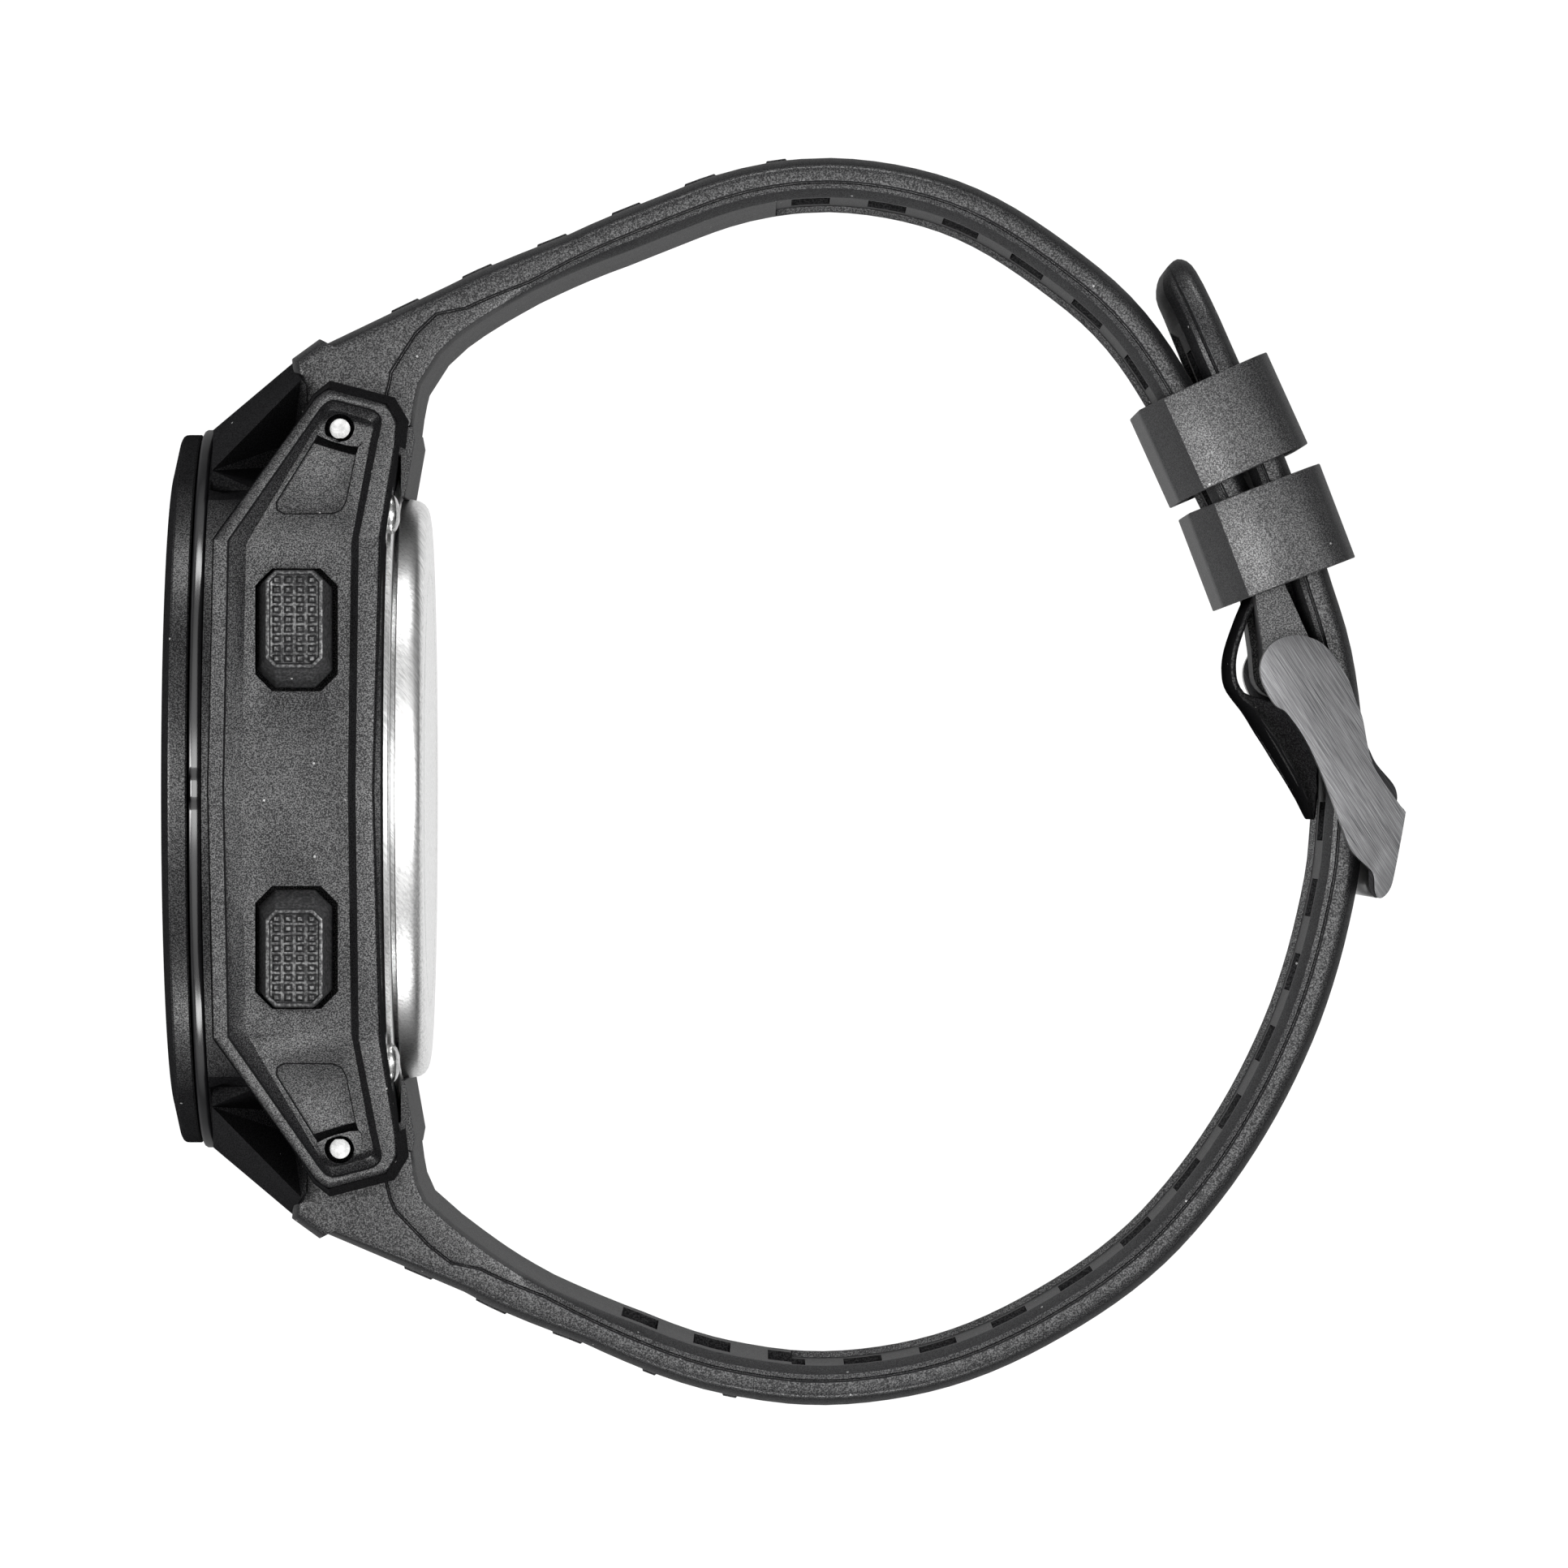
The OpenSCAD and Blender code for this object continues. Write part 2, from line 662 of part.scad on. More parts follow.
module short_strap() {
    color(RESIN) difference() {
        union() {
            strap_root(1);
            strap_layers(root_end_s - eps, neck_s, function (s) 0, function (s) half_t(s), 66);
            across(-strap_w / 2, strap_w / 2, neck_outline);
            across(-strap_w / 2, strap_w / 2, flap_outline);
            translate([buckle_pin[0], buckle_pin[1], -strap_w / 2]) cylinder(h = strap_w, r = tube_r);
            outer_pads(1);
        }
        inner_recess(24.5, neck_s - 3, function (s) 0, 46);
        slots(26.7, slot_pitch, 10);
        translate([bar_x, bar_y, -strap_w]) cylinder(h = 2 * strap_w, r = spring_bar_d / 2 + fit);
        translate([buckle_pin[0], buckle_pin[1], -strap_w])
            cylinder(h = 2 * strap_w, r = buckle_bar_d / 2 + fit);
        translate([buckle_pin[0] - 2.4, buckle_pin[1] - tube_r - 0.5, -tongue_w / 2 - free_gap])
            cube([tube_r + 4, 2 * tube_r + 1.2, tongue_w + 2 * free_gap]);
    }
}

module long_strap() {
    end_s = loop_len - root_end_s;
    color(RESIN) difference() {
        union() {
            strap_root(-1);
            strap_layers(tip_s, end_s + eps, function (s) long_in(s), function (s) long_out(s), 90);
            outer_pads(-1);
        }
        inner_recess(tip_s + 3, loop_len - 24.5, function (s) long_in(s), 70);
        slots(slot_home - 5 * slot_pitch, slot_pitch, 20);
        translate([bar_x, -bar_y, -strap_w]) cylinder(h = 2 * strap_w, r = spring_bar_d / 2 + fit);
        both_sides() translate([0, 0, strap_w / 2]) translate(off(tip_s, 0)) rotate(heading(tip_s))
            rotate([90, 0, 0]) rotate(45) translate([-3.4, -3.4, -20]) cube([6.8, 6.8, 40]);
    }
}

// Side view of the buckle, from its pin
arm_outline = [for (p = [[-1.95, -0.7], [-1.2, -2.1], [-0.5, -2.6], [0.5, -4], [1.4, -5.8],
    [2.1, -7.5], [2.8, -9.4], [3.3, -10.7], [3.8, -11.3], [4.6, -12.1], [4.6, -13.3],
    [5, -13.6], [5.6, -13.1], [5.9, -12.1], [6.5, -8.9], [6.5, -8.4], [6.1, -7.9], [4.6, -5.6],
    [4, -2.9], [3.6, -1.9], [3.2, -0.7], [2.5, 0.5], [1.8, 1.35], [1.1, 1.8], [0, 1.95],
    [-1.5, 1.2]]) buckle_pin + p];
crossbar_outline = [for (p = [[4.55, -8.4], [4.45, -12.1], [4.6, -13.3], [5, -13.6], [5.6, -13.1],
    [5.9, -12.1], [6.5, -8.9], [6.3, -8.4], [5.2, -8.25]]) buckle_pin + p];

module buckle_frame() {
    color(GUNMETAL) difference() {
        union() {
            both_sides() across(frame_z, frame_z + arm_t, arm_outline);
            both_sides() translate([buckle_pin[0], buckle_pin[1], frame_z])
                cylinder(h = arm_t, r = arm_r);
            across(-frame_z - eps, frame_z + eps, crossbar_outline);
        }
        translate([buckle_pin[0], buckle_pin[1], -frame_z - arm_t + 0.6])
            cylinder(h = 2 * (frame_z + arm_t - 0.6), r = buckle_bar_d / 2 + fit);
    }
}

module buckle_bar() {
    bar_half = frame_z + arm_t - 0.65;
    color(STEEL) translate([buckle_pin[0], buckle_pin[1], -bar_half])
        cylinder(h = 2 * bar_half, r = buckle_bar_d / 2);
}

tongue_outline = [for (p = [[-0.9, -1], [0.5, -3.2], [1.2, -4.2], [2, -4.5], [4.3, -4.65],
    [4.7, -5.1], [5, -6.1], [5.45, -7.2], [5.9, -7.95], [6.5, -7.95], [6.6, -7.5], [6.3, -6.8],
    [5.3, -5.6], [4.8, -4.6], [4.3, -3.9], [2.3, -3.7], [1.7, -3], [1.1, -0.6]]) buckle_pin + p];

module buckle_tongue() {
    color(GUNMETAL) difference() {
        union() {
            across(-tongue_w / 2, tongue_w / 2, tongue_outline);
            translate([buckle_pin[0], buckle_pin[1], -tongue_w / 2])
                cylinder(h = tongue_w, r = buckle_bar_d / 2 + 0.55);
        }
        translate([buckle_pin[0], buckle_pin[1], -tongue_w])
            cylinder(h = 2 * tongue_w, r = buckle_bar_d / 2 + fit);
    }
}

// A rounded rectangle that is centred across the strap, between two heights
module rounded(half_w, low, high, r) {
    translate([-half_w, low + r]) square([2 * half_w, high - low - 2 * r]);
    translate([r - half_w, low]) square([2 * (half_w - r), high - low]);
    for (x = [r - half_w, half_w - r], y = [low + r, high - r]) translate([x, y]) circle(r = r, $fn = 48);
}

module keeper(s) {
    half = strap_w / 2 + 0.25;
    color(RESIN) translate(off(s, 0)) rotate(heading(s)) rotate([0, 90, 0])
        translate([0, 0, -keeper_len / 2]) linear_extrude(keeper_len) difference() {
            rounded(half + keeper_wall, -keeper_in - keeper_wall, keeper_out + keeper_wall, keeper_r);
            translate([-half, -keeper_in]) square([2 * half, keeper_in + keeper_out]);
        }
}

module keeper_upper() {
    keeper(keeper_upper_s);
}

module keeper_lower() {
    keeper(keeper_lower_s);
}

bezel();
trim_ring();
lens();
lens_gasket();
dial_mask();
lcd_panel();
backlight_panel();
contact_strips();
module_frame();
circuit_board();
main_chip();
quartz_can();
battery();
battery_clip();
piezo_buzzer();
case_body();
back_gasket();
case_back();
case_back_screws();
start_button();
reset_button();
light_button();
mode_button();
start_clip();
reset_clip();
light_clip();
mode_clip();
start_spring();
reset_spring();
light_spring();
mode_spring();
button_seals();
spring_bar_12h();
spring_bar_6h();
short_strap();
long_strap();
buckle_frame();
buckle_bar();
buckle_tongue();
keeper_upper();
keeper_lower();
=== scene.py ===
import math

import bmesh
import bpy
from mathutils import Matrix, Vector


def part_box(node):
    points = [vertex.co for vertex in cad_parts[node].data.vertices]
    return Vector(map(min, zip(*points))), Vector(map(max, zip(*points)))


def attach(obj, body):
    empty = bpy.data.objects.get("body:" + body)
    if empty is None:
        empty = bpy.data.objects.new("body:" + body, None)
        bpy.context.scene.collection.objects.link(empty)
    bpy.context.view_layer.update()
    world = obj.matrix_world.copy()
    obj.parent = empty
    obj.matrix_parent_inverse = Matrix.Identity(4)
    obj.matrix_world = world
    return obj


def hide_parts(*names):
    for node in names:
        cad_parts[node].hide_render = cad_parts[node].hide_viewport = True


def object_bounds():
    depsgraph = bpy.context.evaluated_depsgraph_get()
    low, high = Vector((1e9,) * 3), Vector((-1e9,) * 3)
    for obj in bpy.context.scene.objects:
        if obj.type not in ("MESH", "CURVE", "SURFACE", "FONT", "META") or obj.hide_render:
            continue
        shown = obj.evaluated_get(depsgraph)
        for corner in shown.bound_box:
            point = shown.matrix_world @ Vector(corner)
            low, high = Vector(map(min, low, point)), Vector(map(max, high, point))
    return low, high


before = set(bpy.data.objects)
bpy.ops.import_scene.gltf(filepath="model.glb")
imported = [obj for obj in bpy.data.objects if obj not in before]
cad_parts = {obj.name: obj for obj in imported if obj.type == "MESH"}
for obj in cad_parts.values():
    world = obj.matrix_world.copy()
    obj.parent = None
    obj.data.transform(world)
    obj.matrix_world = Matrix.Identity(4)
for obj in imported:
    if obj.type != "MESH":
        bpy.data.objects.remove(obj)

# Sports watch, buckled. Modelled in millimetres, in the CAD frame:
# +X from the dial to the back, +Y to 12 o'clock, +Z to 3 o'clock.
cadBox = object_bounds()
mm = 0.001
scene = bpy.context.scene


# Helpers for objects and nodes

def addObject(name, data):
    made = bpy.data.objects.new(name, data)
    scene.collection.objects.link(made)
    return made


def emptyTree(owner):
    owner.use_nodes = True
    owner.node_tree.nodes.clear()
    return owner.node_tree


def setInputs(tree, node, inputs):
    # by label or number: a constant to set, or a socket to link from
    for label, value in inputs.items():
        if isinstance(value, bpy.types.NodeSocket):
            tree.links.new(value, node.inputs[label])
        else:
            node.inputs[label].default_value = value


def addNode(tree, kind, inputs=None, **settings):
    node = tree.nodes.new("ShaderNode" + kind)
    for label, value in settings.items():
        setattr(node, label, value)
    setInputs(tree, node, inputs or {})
    return node


def mathNode(tree, operation, a, b, clamp=False):
    return addNode(tree, "Math", {0: a, 1: b}, operation=operation, use_clamp=clamp).outputs[0]


def rangeNode(tree, value, low, high, toLow, toHigh):
    return addNode(tree, "MapRange", {"Value": value, "From Min": low, "From Max": high,
        "To Min": toLow, "To Max": toHigh}).outputs["Result"]


def mixColours(tree, factor, first, second):
    a, b = [(*c, 1) if isinstance(c, tuple) else c for c in (first, second)]
    return addNode(tree, "Mix", {"Factor": factor, "A": a, "B": b},
        data_type="RGBA").outputs["Result"]


def newGroup(name, numbers, outputs):
    # a shared effect, from a vector and some numbers
    group = bpy.data.node_groups.new(name, "ShaderNodeTree")
    group.interface.new_socket("Vector", in_out="INPUT", socket_type="NodeSocketVector")
    for label, value in numbers.items():
        group.interface.new_socket(label, in_out="INPUT",
            socket_type="NodeSocketFloat").default_value = value
    for label in outputs:
        group.interface.new_socket(label, in_out="OUTPUT", socket_type="NodeSocketFloat")
    given = group.nodes.new("NodeGroupInput").outputs
    return group, given, group.nodes.new("NodeGroupOutput")


# Camera, floor and light

view = {"eye": (20.13, 0.0, 700.0), "target": (21.41, 0.285, 0.0), "lens": 265.5, "sensor": 36.0}
floorTone = {"glow": 0.93, "shadow": 0.12, "bounce": 0.1, "size": 3.0, "gap": 0.0001}
studio = {"fill": 0.035, "overhead": 1.0, "horizon": 0.1, "fall": (0.1, 0.85)}
lamps = {
    # name: (place in mm, size in mm, watts)
    "overheadBox": ((-20, 0, 760), (420, 1000), 4.2),
    "headStrip": ((20, 480, 120), (420, 110), 1.35),
    "footStrip": ((20, -480, 120), (420, 110), 1.45),
    "dialStrip": ((-450, 0, 150), (140, 420), 2.0),
    "claspStrip": ((470, 0, 380), (160, 480), 0.7),
    # among the strap's curve, for its inner face
    "loopBox": ((26, 0, 60), (30, 30), 0.03),
}
lampAim = (20, 0, 0)


def buildView():
    data = bpy.data.cameras.new("camera")
    data.lens, data.sensor_width = view["lens"], view["sensor"]
    data.clip_start, data.clip_end = 0.01, 20
    scene.camera = addObject("camera", data)
    eye = Vector(view["eye"]) * mm
    back = (eye - Vector(view["target"]) * mm).normalized()
    right = Vector((0, 1, 0)).cross(back).normalized()
    turn = Matrix((right, back.cross(right), back)).transposed()
    scene.camera.matrix_world = Matrix.Translation(eye) @ turn.to_4x4()


def buildLamps():
    for name, (spot, size, watts) in lamps.items():
        data = bpy.data.lights.new(name, "AREA")
        data.shape = "RECTANGLE"
        data.size, data.size_y = size[0] * mm, size[1] * mm
        data.energy = watts
        lamp = addObject(name, data)
        lamp.location = Vector(spot) * mm
        aim = Vector(lampAim) * mm - lamp.location
        lamp.rotation_euler = aim.to_track_quat("-Z", "Y").to_euler()


def seenRays(tree):
    # 1 for what the camera sees, also through glass or mirrored
    path = addNode(tree, "LightPath").outputs
    seen = mathNode(tree, "ADD", path["Is Camera Ray"], path["Is Transmission Ray"], clamp=True)
    return path, mathNode(tree, "ADD", seen, path["Is Glossy Ray"], clamp=True)


def buildWorld():
    world = bpy.data.worlds.new("studio")
    scene.world = world
    tree = emptyTree(world)
    path, seen = seenRays(tree)
    # gloss and metal see it white overhead and falling off towards the horizon
    place = addNode(tree, "TexCoord").outputs["Generated"]
    height = addNode(tree, "SeparateXYZ", {0: place}).outputs["Z"]
    fall = rangeNode(tree, height, *studio["fall"], studio["horizon"], studio["overhead"])
    power = addNode(tree, "Mix", {"Factor": path["Is Glossy Ray"], "A": 1.0, "B": fall})
    soft, shown = [addNode(tree, "Background", {"Color": (1, 1, 1, 1), "Strength": strength})
        for strength in (studio["fill"], power.outputs["Result"])]
    mix = addNode(tree, "MixShader", {0: seen, 1: soft.outputs[0], 2: shown.outputs[0]})
    addNode(tree, "OutputWorld", {"Surface": mix.outputs[0]})


def buildFloor():
    bm = bmesh.new()
    bmesh.ops.create_grid(bm, x_segments=1, y_segments=1, size=floorTone["size"])
    mesh = bpy.data.meshes.new("floor")
    bm.to_mesh(mesh)
    bm.free()
    floor = addObject("floor", mesh)
    floor.location = (0, 0, cadBox[0][2] - floorTone["gap"])
    material = bpy.data.materials.new("paleFloor")
    tree = emptyTree(material)
    seen = seenRays(tree)[1]
    tone = mixColours(tree, seen, (floorTone["bounce"],) * 3, (floorTone["shadow"],) * 3)
    matt = addNode(tree, "BsdfDiffuse", {"Color": tone})
    glow = addNode(tree, "Emission",
        {"Strength": mathNode(tree, "MULTIPLY", seen, floorTone["glow"])})
    both = addNode(tree, "AddShader", {0: matt.outputs[0], 1: glow.outputs[0]})
    addNode(tree, "OutputMaterial", {"Surface": both.outputs[0]})
    mesh.materials.append(material)


buildView()
buildLamps()
buildWorld()
buildFloor()
scene.view_settings.view_transform = "Standard"
print("camera, light and floor ready")


# Shared surface effects

def buildGrainGroup():
    # fine moulded grain, with a softer cloudiness under it
    group, given, out = newGroup("mouldedGrain", {"Scale": 6000.0, "Clouds": 0.2},
        ["Shade", "Height"])
    fine = addNode(group, "TexNoise", {"Vector": given["Vector"], "Scale": given["Scale"],
        "Detail": 2.5, "Roughness": 0.6}).outputs["Fac"]
    broad = addNode(group, "TexNoise", {"Vector": given["Vector"], "Scale": 320.0,
        "Detail": 3.0}).outputs["Fac"]
    grain = rangeNode(group, fine, 0.36, 0.66, 0.0, 1.0)
    cloud = mathNode(group, "SUBTRACT", broad, 0.5)
    cloud = mathNode(group, "MULTIPLY", cloud, given["Clouds"])
    shade = mathNode(group, "ADD", grain, cloud, clamp=True)
    setInputs(group, out, {"Shade": shade, "Height": fine})
    return group


def buildDustGroup():
    # few pale specks, as on any matte black surface
    group, given, out = newGroup("dustSpecks", {"Scale": 900.0, "Size": 0.06}, ["Mask"])
    cells = addNode(group, "TexVoronoi",
        {"Vector": given["Vector"], "Scale": given["Scale"]}).outputs
    near = mathNode(group, "LESS_THAN", cells["Distance"], given["Size"])
    split = addNode(group, "SeparateColor", {"Color": cells["Color"]}).outputs
    rare = mathNode(group, "GREATER_THAN", split["Red"], 0.62)
    setInputs(group, out, {"Mask": mathNode(group, "MULTIPLY", near, rare)})
    return group


def buildBrushGroup():
    # brushing lines along the X of the vector that comes in
    group, given, out = newGroup("brushLines", {"Scale": 5000.0, "Stretch": 0.04},
        ["Shade", "Height"])
    split = addNode(group, "SeparateXYZ", {0: given["Vector"]}).outputs
    joined = addNode(group, "CombineXYZ", {"Y": split["Y"], "Z": split["Z"],
        "X": mathNode(group, "MULTIPLY", split["X"], given["Stretch"])})
    fine = addNode(group, "TexNoise", {"Vector": joined.outputs[0], "Scale": given["Scale"],
        "Detail": 3.0, "Roughness": 0.7}).outputs["Fac"]
    setInputs(group, out, {"Shade": rangeNode(group, fine, 0.3, 0.7, 0.0, 1.0), "Height": fine})
    return group


grainGroup = buildGrainGroup()
dustGroup = buildDustGroup()
brushGroup = buildBrushGroup()


# Materials

def startMaterial(name, constants):
    material = bpy.data.materials.new(name)
    material.use_nodes = True
    tree = material.node_tree
    shader = tree.nodes["Principled BSDF"]
    setInputs(tree, shader, constants)
    return material, tree, shader, addNode(tree, "TexCoord").outputs["Object"]


def placeGroup(tree, group, vector, **numbers):
    return addNode(tree, "Group", {"Vector": vector, **numbers}, node_tree=group).outputs


def addBump(tree, shader, height, depth, strength):
    bump = addNode(tree, "Bump", {"Height": height, "Distance": depth * mm, "Strength": strength})
    setInputs(tree, shader, {"Normal": bump.outputs[0]})


def facingRange(tree, low, high, toLow, toHigh):
    tilt = addNode(tree, "LayerWeight", {"Blend": 0.5})
    return rangeNode(tree, tilt.outputs["Facing"], low, high, toLow, toHigh)


def makeResin(name, dark, light, rough, sheen, gloss=0.0, grain=12500.0, bump=0.3):
    # grainy moulded resin: its sheen sparkles where it faces the eye and fades at a glancing angle
    material, tree, shader, place = startMaterial(name,
        {"Specular IOR Level": gloss, "Coat Roughness": 0.36, "Coat IOR": 1.7})
    texture = placeGroup(tree, grainGroup, place, Scale=grain, Clouds=0.25)
    specks = placeGroup(tree, dustGroup, place, Scale=700.0, Size=0.05)
    tone = mixColours(tree, texture["Shade"], dark, light)
    facing = facingRange(tree, 0.22, 0.5, sheen, 0.0)
    sparkle = rangeNode(tree, texture["Shade"], 0.3, 0.9, 0.2, 1.3)
    setInputs(tree, shader, {
        "Base Color": mixColours(tree, specks["Mask"], tone, (0.3, 0.3, 0.3)),
        "Roughness": rangeNode(tree, texture["Shade"], 0, 1, rough + 0.06, rough - 0.06),
        "Coat Weight": mathNode(tree, "MULTIPLY", facing, sparkle)})
    addBump(tree, shader, texture["Height"], 0.03, bump)
    return material


def makeMetal(name, dark, light, rough, turn, stretch, scale, bump):
    # brushed metal, its lines turned by some degrees round Z
    material, tree, shader, place = startMaterial(name, {"Metallic": 1.0})
    mapping = addNode(tree, "Mapping", {"Vector": place, "Rotation": (0, 0, math.radians(turn))})
    lines = placeGroup(tree, brushGroup, mapping.outputs[0], Scale=scale, Stretch=stretch)
    setInputs(tree, shader, {"Base Color": mixColours(tree, lines["Shade"], dark, light),
        "Roughness": rangeNode(tree, lines["Shade"], 0, 1, rough + 0.05, rough - 0.05)})
    addBump(tree, shader, lines["Height"], 0.02, bump)
    return material


def addTint(tree, shader, place, colour, variation, scale):
    # the colour, a little darker here and there
    shade = placeGroup(tree, grainGroup, place, Scale=scale, Clouds=0.3)["Shade"]
    low = tuple(c * (1 - variation) for c in colour)
    setInputs(tree, shader, {"Base Color": mixColours(tree, shade, low, colour)})
    return shade


def makeGloss(name, colour, rough):
    # polished black plastic, which mirrors less at a glancing angle
    material, tree, shader, place = startMaterial(name, {"Specular IOR Level": 0.02,
        "Roughness": 0.5, "Coat Roughness": rough, "Coat IOR": 1.9})
    addTint(tree, shader, place, colour, 0.3, 900.0)
    setInputs(tree, shader, {"Coat Weight": facingRange(tree, 0.1, 0.5, 1.0, 0.06)})
    return material


def makePlain(name, colour, rough, metal=0.0, clear=0.0, ior=1.45, variation=0.12, scale=900.0):
    material, tree, shader, place = startMaterial(name,
        {"Metallic": metal, "Transmission Weight": clear, "IOR": ior})
    shade = addTint(tree, shader, place, colour, variation, scale)
    setInputs(tree, shader, {"Roughness": rangeNode(tree, shade, 0, 1, rough + 0.03, rough)})
    return material


resin = makeResin("caseResin", (0.005, 0.005, 0.0054), (0.023, 0.023, 0.024), 0.55, 0.82)
strapTone = {"dark": (0.006, 0.006, 0.0065), "light": (0.026, 0.026, 0.027), "rough": 0.56}
strapResin = makeResin("strapResin", **strapTone, sheen=0.72, gloss=0.05)
keeperResin = makeResin("keeperResin", **strapTone, sheen=0.67, gloss=0.14)
# a darker, less glossy copy of the resin that paints shade: on the flap in its gap under the
# buckle, on the slots' walls and on the flats beside the bezel
paintedShadeResin = makeResin("paintedShadeResin", (0.004, 0.004, 0.0045), (0.01, 0.01, 0.0105), 0.4, 0.16,
    grain=9500.0, bump=0.05)
buttonResin = makeResin("buttonResin", (0.02, 0.02, 0.0205), (0.04, 0.04, 0.041), 0.4, 0.9,
    grain=5200.0, bump=0.1)
glossTrim = makeGloss("glossTrim", (0.007, 0.007, 0.008), 0.2)
gunmetal = makeMetal("gunmetal", (0.018, 0.018, 0.019), (0.098, 0.098, 0.1), 0.34,
    turn=57, stretch=0.015, scale=26000.0, bump=0.12)
# a darker copy of the gunmetal: painted shade on the buckle arms' inner faces and on the crossbar;
# the tongue is in it too
shadedSteel = makeMetal("shadedSteel", (0.006, 0.006, 0.0062), (0.022, 0.022, 0.023), 0.35,
    turn=57, stretch=0.03, scale=15000.0, bump=0.12)
brushedSteel = makeMetal("brushedSteel", (0.42, 0.42, 0.42), (0.86, 0.86, 0.855), 0.36,
    turn=55, stretch=0.02, scale=7000.0, bump=0.1)
barSteel = makePlain("barSteel", (0.3, 0.3, 0.298), 0.25, metal=1.0, variation=0.3,
    scale=2600.0)
polishedSteel = makePlain("polishedSteel", (0.52, 0.52, 0.515), 0.22, metal=1.0, variation=0.45,
    scale=2600.0)
paleInk = makePlain("paleInk", (0.5, 0.52, 0.52), 0.5)
lcdInk = makePlain("lcdInk", (0.02, 0.024, 0.02), 0.4)
print("materials ready")


# Helpers for meshes

def turnOut(bm):
    bmesh.ops.recalc_face_normals(bm, faces=bm.faces[:])


def cleanMesh(bm, distance, degrees):
    # merges what lies together, and makes flat faces whole
    bmesh.ops.remove_doubles(bm, verts=bm.verts[:], dist=distance)
    bmesh.ops.dissolve_limit(bm, angle_limit=math.radians(degrees), verts=bm.verts[:],
        edges=bm.edges[:])


def finishPiece(name, bm, material, body, stands=(), smooth=32, turned=True,
        second=None):
    bmesh.ops.remove_doubles(bm, verts=bm.verts[:], dist=0.0005)
    if turned:
        turnOut(bm)
    bmesh.ops.scale(bm, vec=(mm, mm, mm), verts=bm.verts[:])
    for face in bm.faces:
        face.smooth = True
    for edge in bm.edges:
        if len(edge.link_faces) == 2:
            edge.smooth = edge.calc_face_angle() < math.radians(smooth)
    mesh = bpy.data.meshes.new(name)
    bm.to_mesh(mesh)
    bm.free()
    piece = addObject(name, mesh)
    mesh.materials.append(material)
    if second:
        mesh.materials.append(second)
    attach(piece, body)
    if stands:
        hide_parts(*stands)


def copyNode(name):
    # a copy of a CAD node's mesh, in millimetres
    bm = bmesh.new()
    bm.from_mesh(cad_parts[name].data)
    bmesh.ops.scale(bm, vec=(1 / mm, 1 / mm, 1 / mm), verts=bm.verts[:])
    cleanMesh(bm, 0.002, 0.6)
    return bm


def joinMeshes(bm, others):
    part = bpy.data.meshes.new("part")
    for other in others:
        other.to_mesh(part)
        other.free()
        bm.from_mesh(part)
    bpy.data.meshes.remove(part)


def pick(geom, kind="Vert"):
    return [g for g in geom if isinstance(g, getattr(bmesh.types, "BM" + kind))]


def softenEdges(bm, width, angle=30, segments=2, test=None):
    sharp = [e for e in bm.edges if len(e.link_faces) == 2
        and e.calc_face_angle() > math.radians(angle)
        and e.calc_length() > width * 0.6 and (test is None or test(e))]
    bmesh.ops.bevel(bm, geom=sharp, offset=width, offset_type="OFFSET", segments=segments,
        profile=0.5, affect="EDGES", clamp_overlap=True, material=-1)


def addLoop(bm, points):
    verts = [bm.verts.new(p) for p in points]
    return verts, [bm.edges.new((verts[i - 1], verts[i])) for i in range(len(verts))]


def addPlate(bm, loops, vec):
    # a solid from the band between two loops of edges
    band = bmesh.ops.bridge_loops(bm, edges=loops[0] + loops[1])["faces"]
    raised = bmesh.ops.extrude_face_region(bm, geom=band, use_keep_orig=True)["geom"]
    bmesh.ops.translate(bm, verts=pick(raised), vec=vec)


def prism(bm, outline, low, high):
    # an outline in X and Y, pulled from z = low to z = high
    base = [bm.verts.new((p[0], p[1], low)) for p in outline]
    raised = bmesh.ops.extrude_face_region(bm, geom=[bm.faces.new(base)], use_keep_orig=True)
    top = pick(raised["geom"])
    bmesh.ops.translate(bm, verts=top, vec=(0, 0, high - low))
    return base + top


def addRod(bm, radius, length, place, segments=48):
    # a cylinder along Z, then placed
    bmesh.ops.create_cone(bm, cap_ends=True, segments=segments, radius1=radius, radius2=radius,
        depth=length, matrix=place)


def spunProfile(profile, steps=192, x=0.0):
    # a closed profile of (distance along X, radius) points, spun round the dial's axis
    bm = bmesh.new()
    verts, edges = addLoop(bm, [(x + along, radius, 0) for along, radius in profile])
    bmesh.ops.spin(bm, geom=verts + edges, cent=(0, 0, 0), axis=(1, 0, 0), dvec=(0, 0, 0),
        angle=2 * math.pi, steps=steps, use_merge=True)
    return bm


def nearestPoint(points, x, y):
    return min(range(len(points)), key=lambda i: (points[i][0] - x) ** 2 + (points[i][1] - y) ** 2)


def splinePoint(p0, p1, p2, p3, t):
    return 0.5 * (2 * p1 + (p2 - p0) * t + (2 * p0 - 5 * p1 + 4 * p2 - p3) * t * t
        + (3 * p1 - p0 - 3 * p2 + p3) * t * t * t)


def smoothOutline(points, steps=4, closed=True):
    # a curve through the points
    count = len(points)

    def at(k):
        return Vector(points[k % count] if closed else points[min(max(k, 0), count - 1)])

    out = [splinePoint(at(i - 1), at(i), at(i + 1), at(i + 2), k / steps)
        for i in range(count if closed else count - 1) for k in range(steps)]
    return out if closed else out + [Vector(points[-1])]


def arc(centre, radius, start, end, steps):
    turns = [math.radians(start + (end - start) * k / steps) for k in range(steps + 1)]
    return [centre + radius * Vector((math.cos(turn), math.sin(turn))) for turn in turns]


# Line of the wrist opening, as the CAD straps follow it

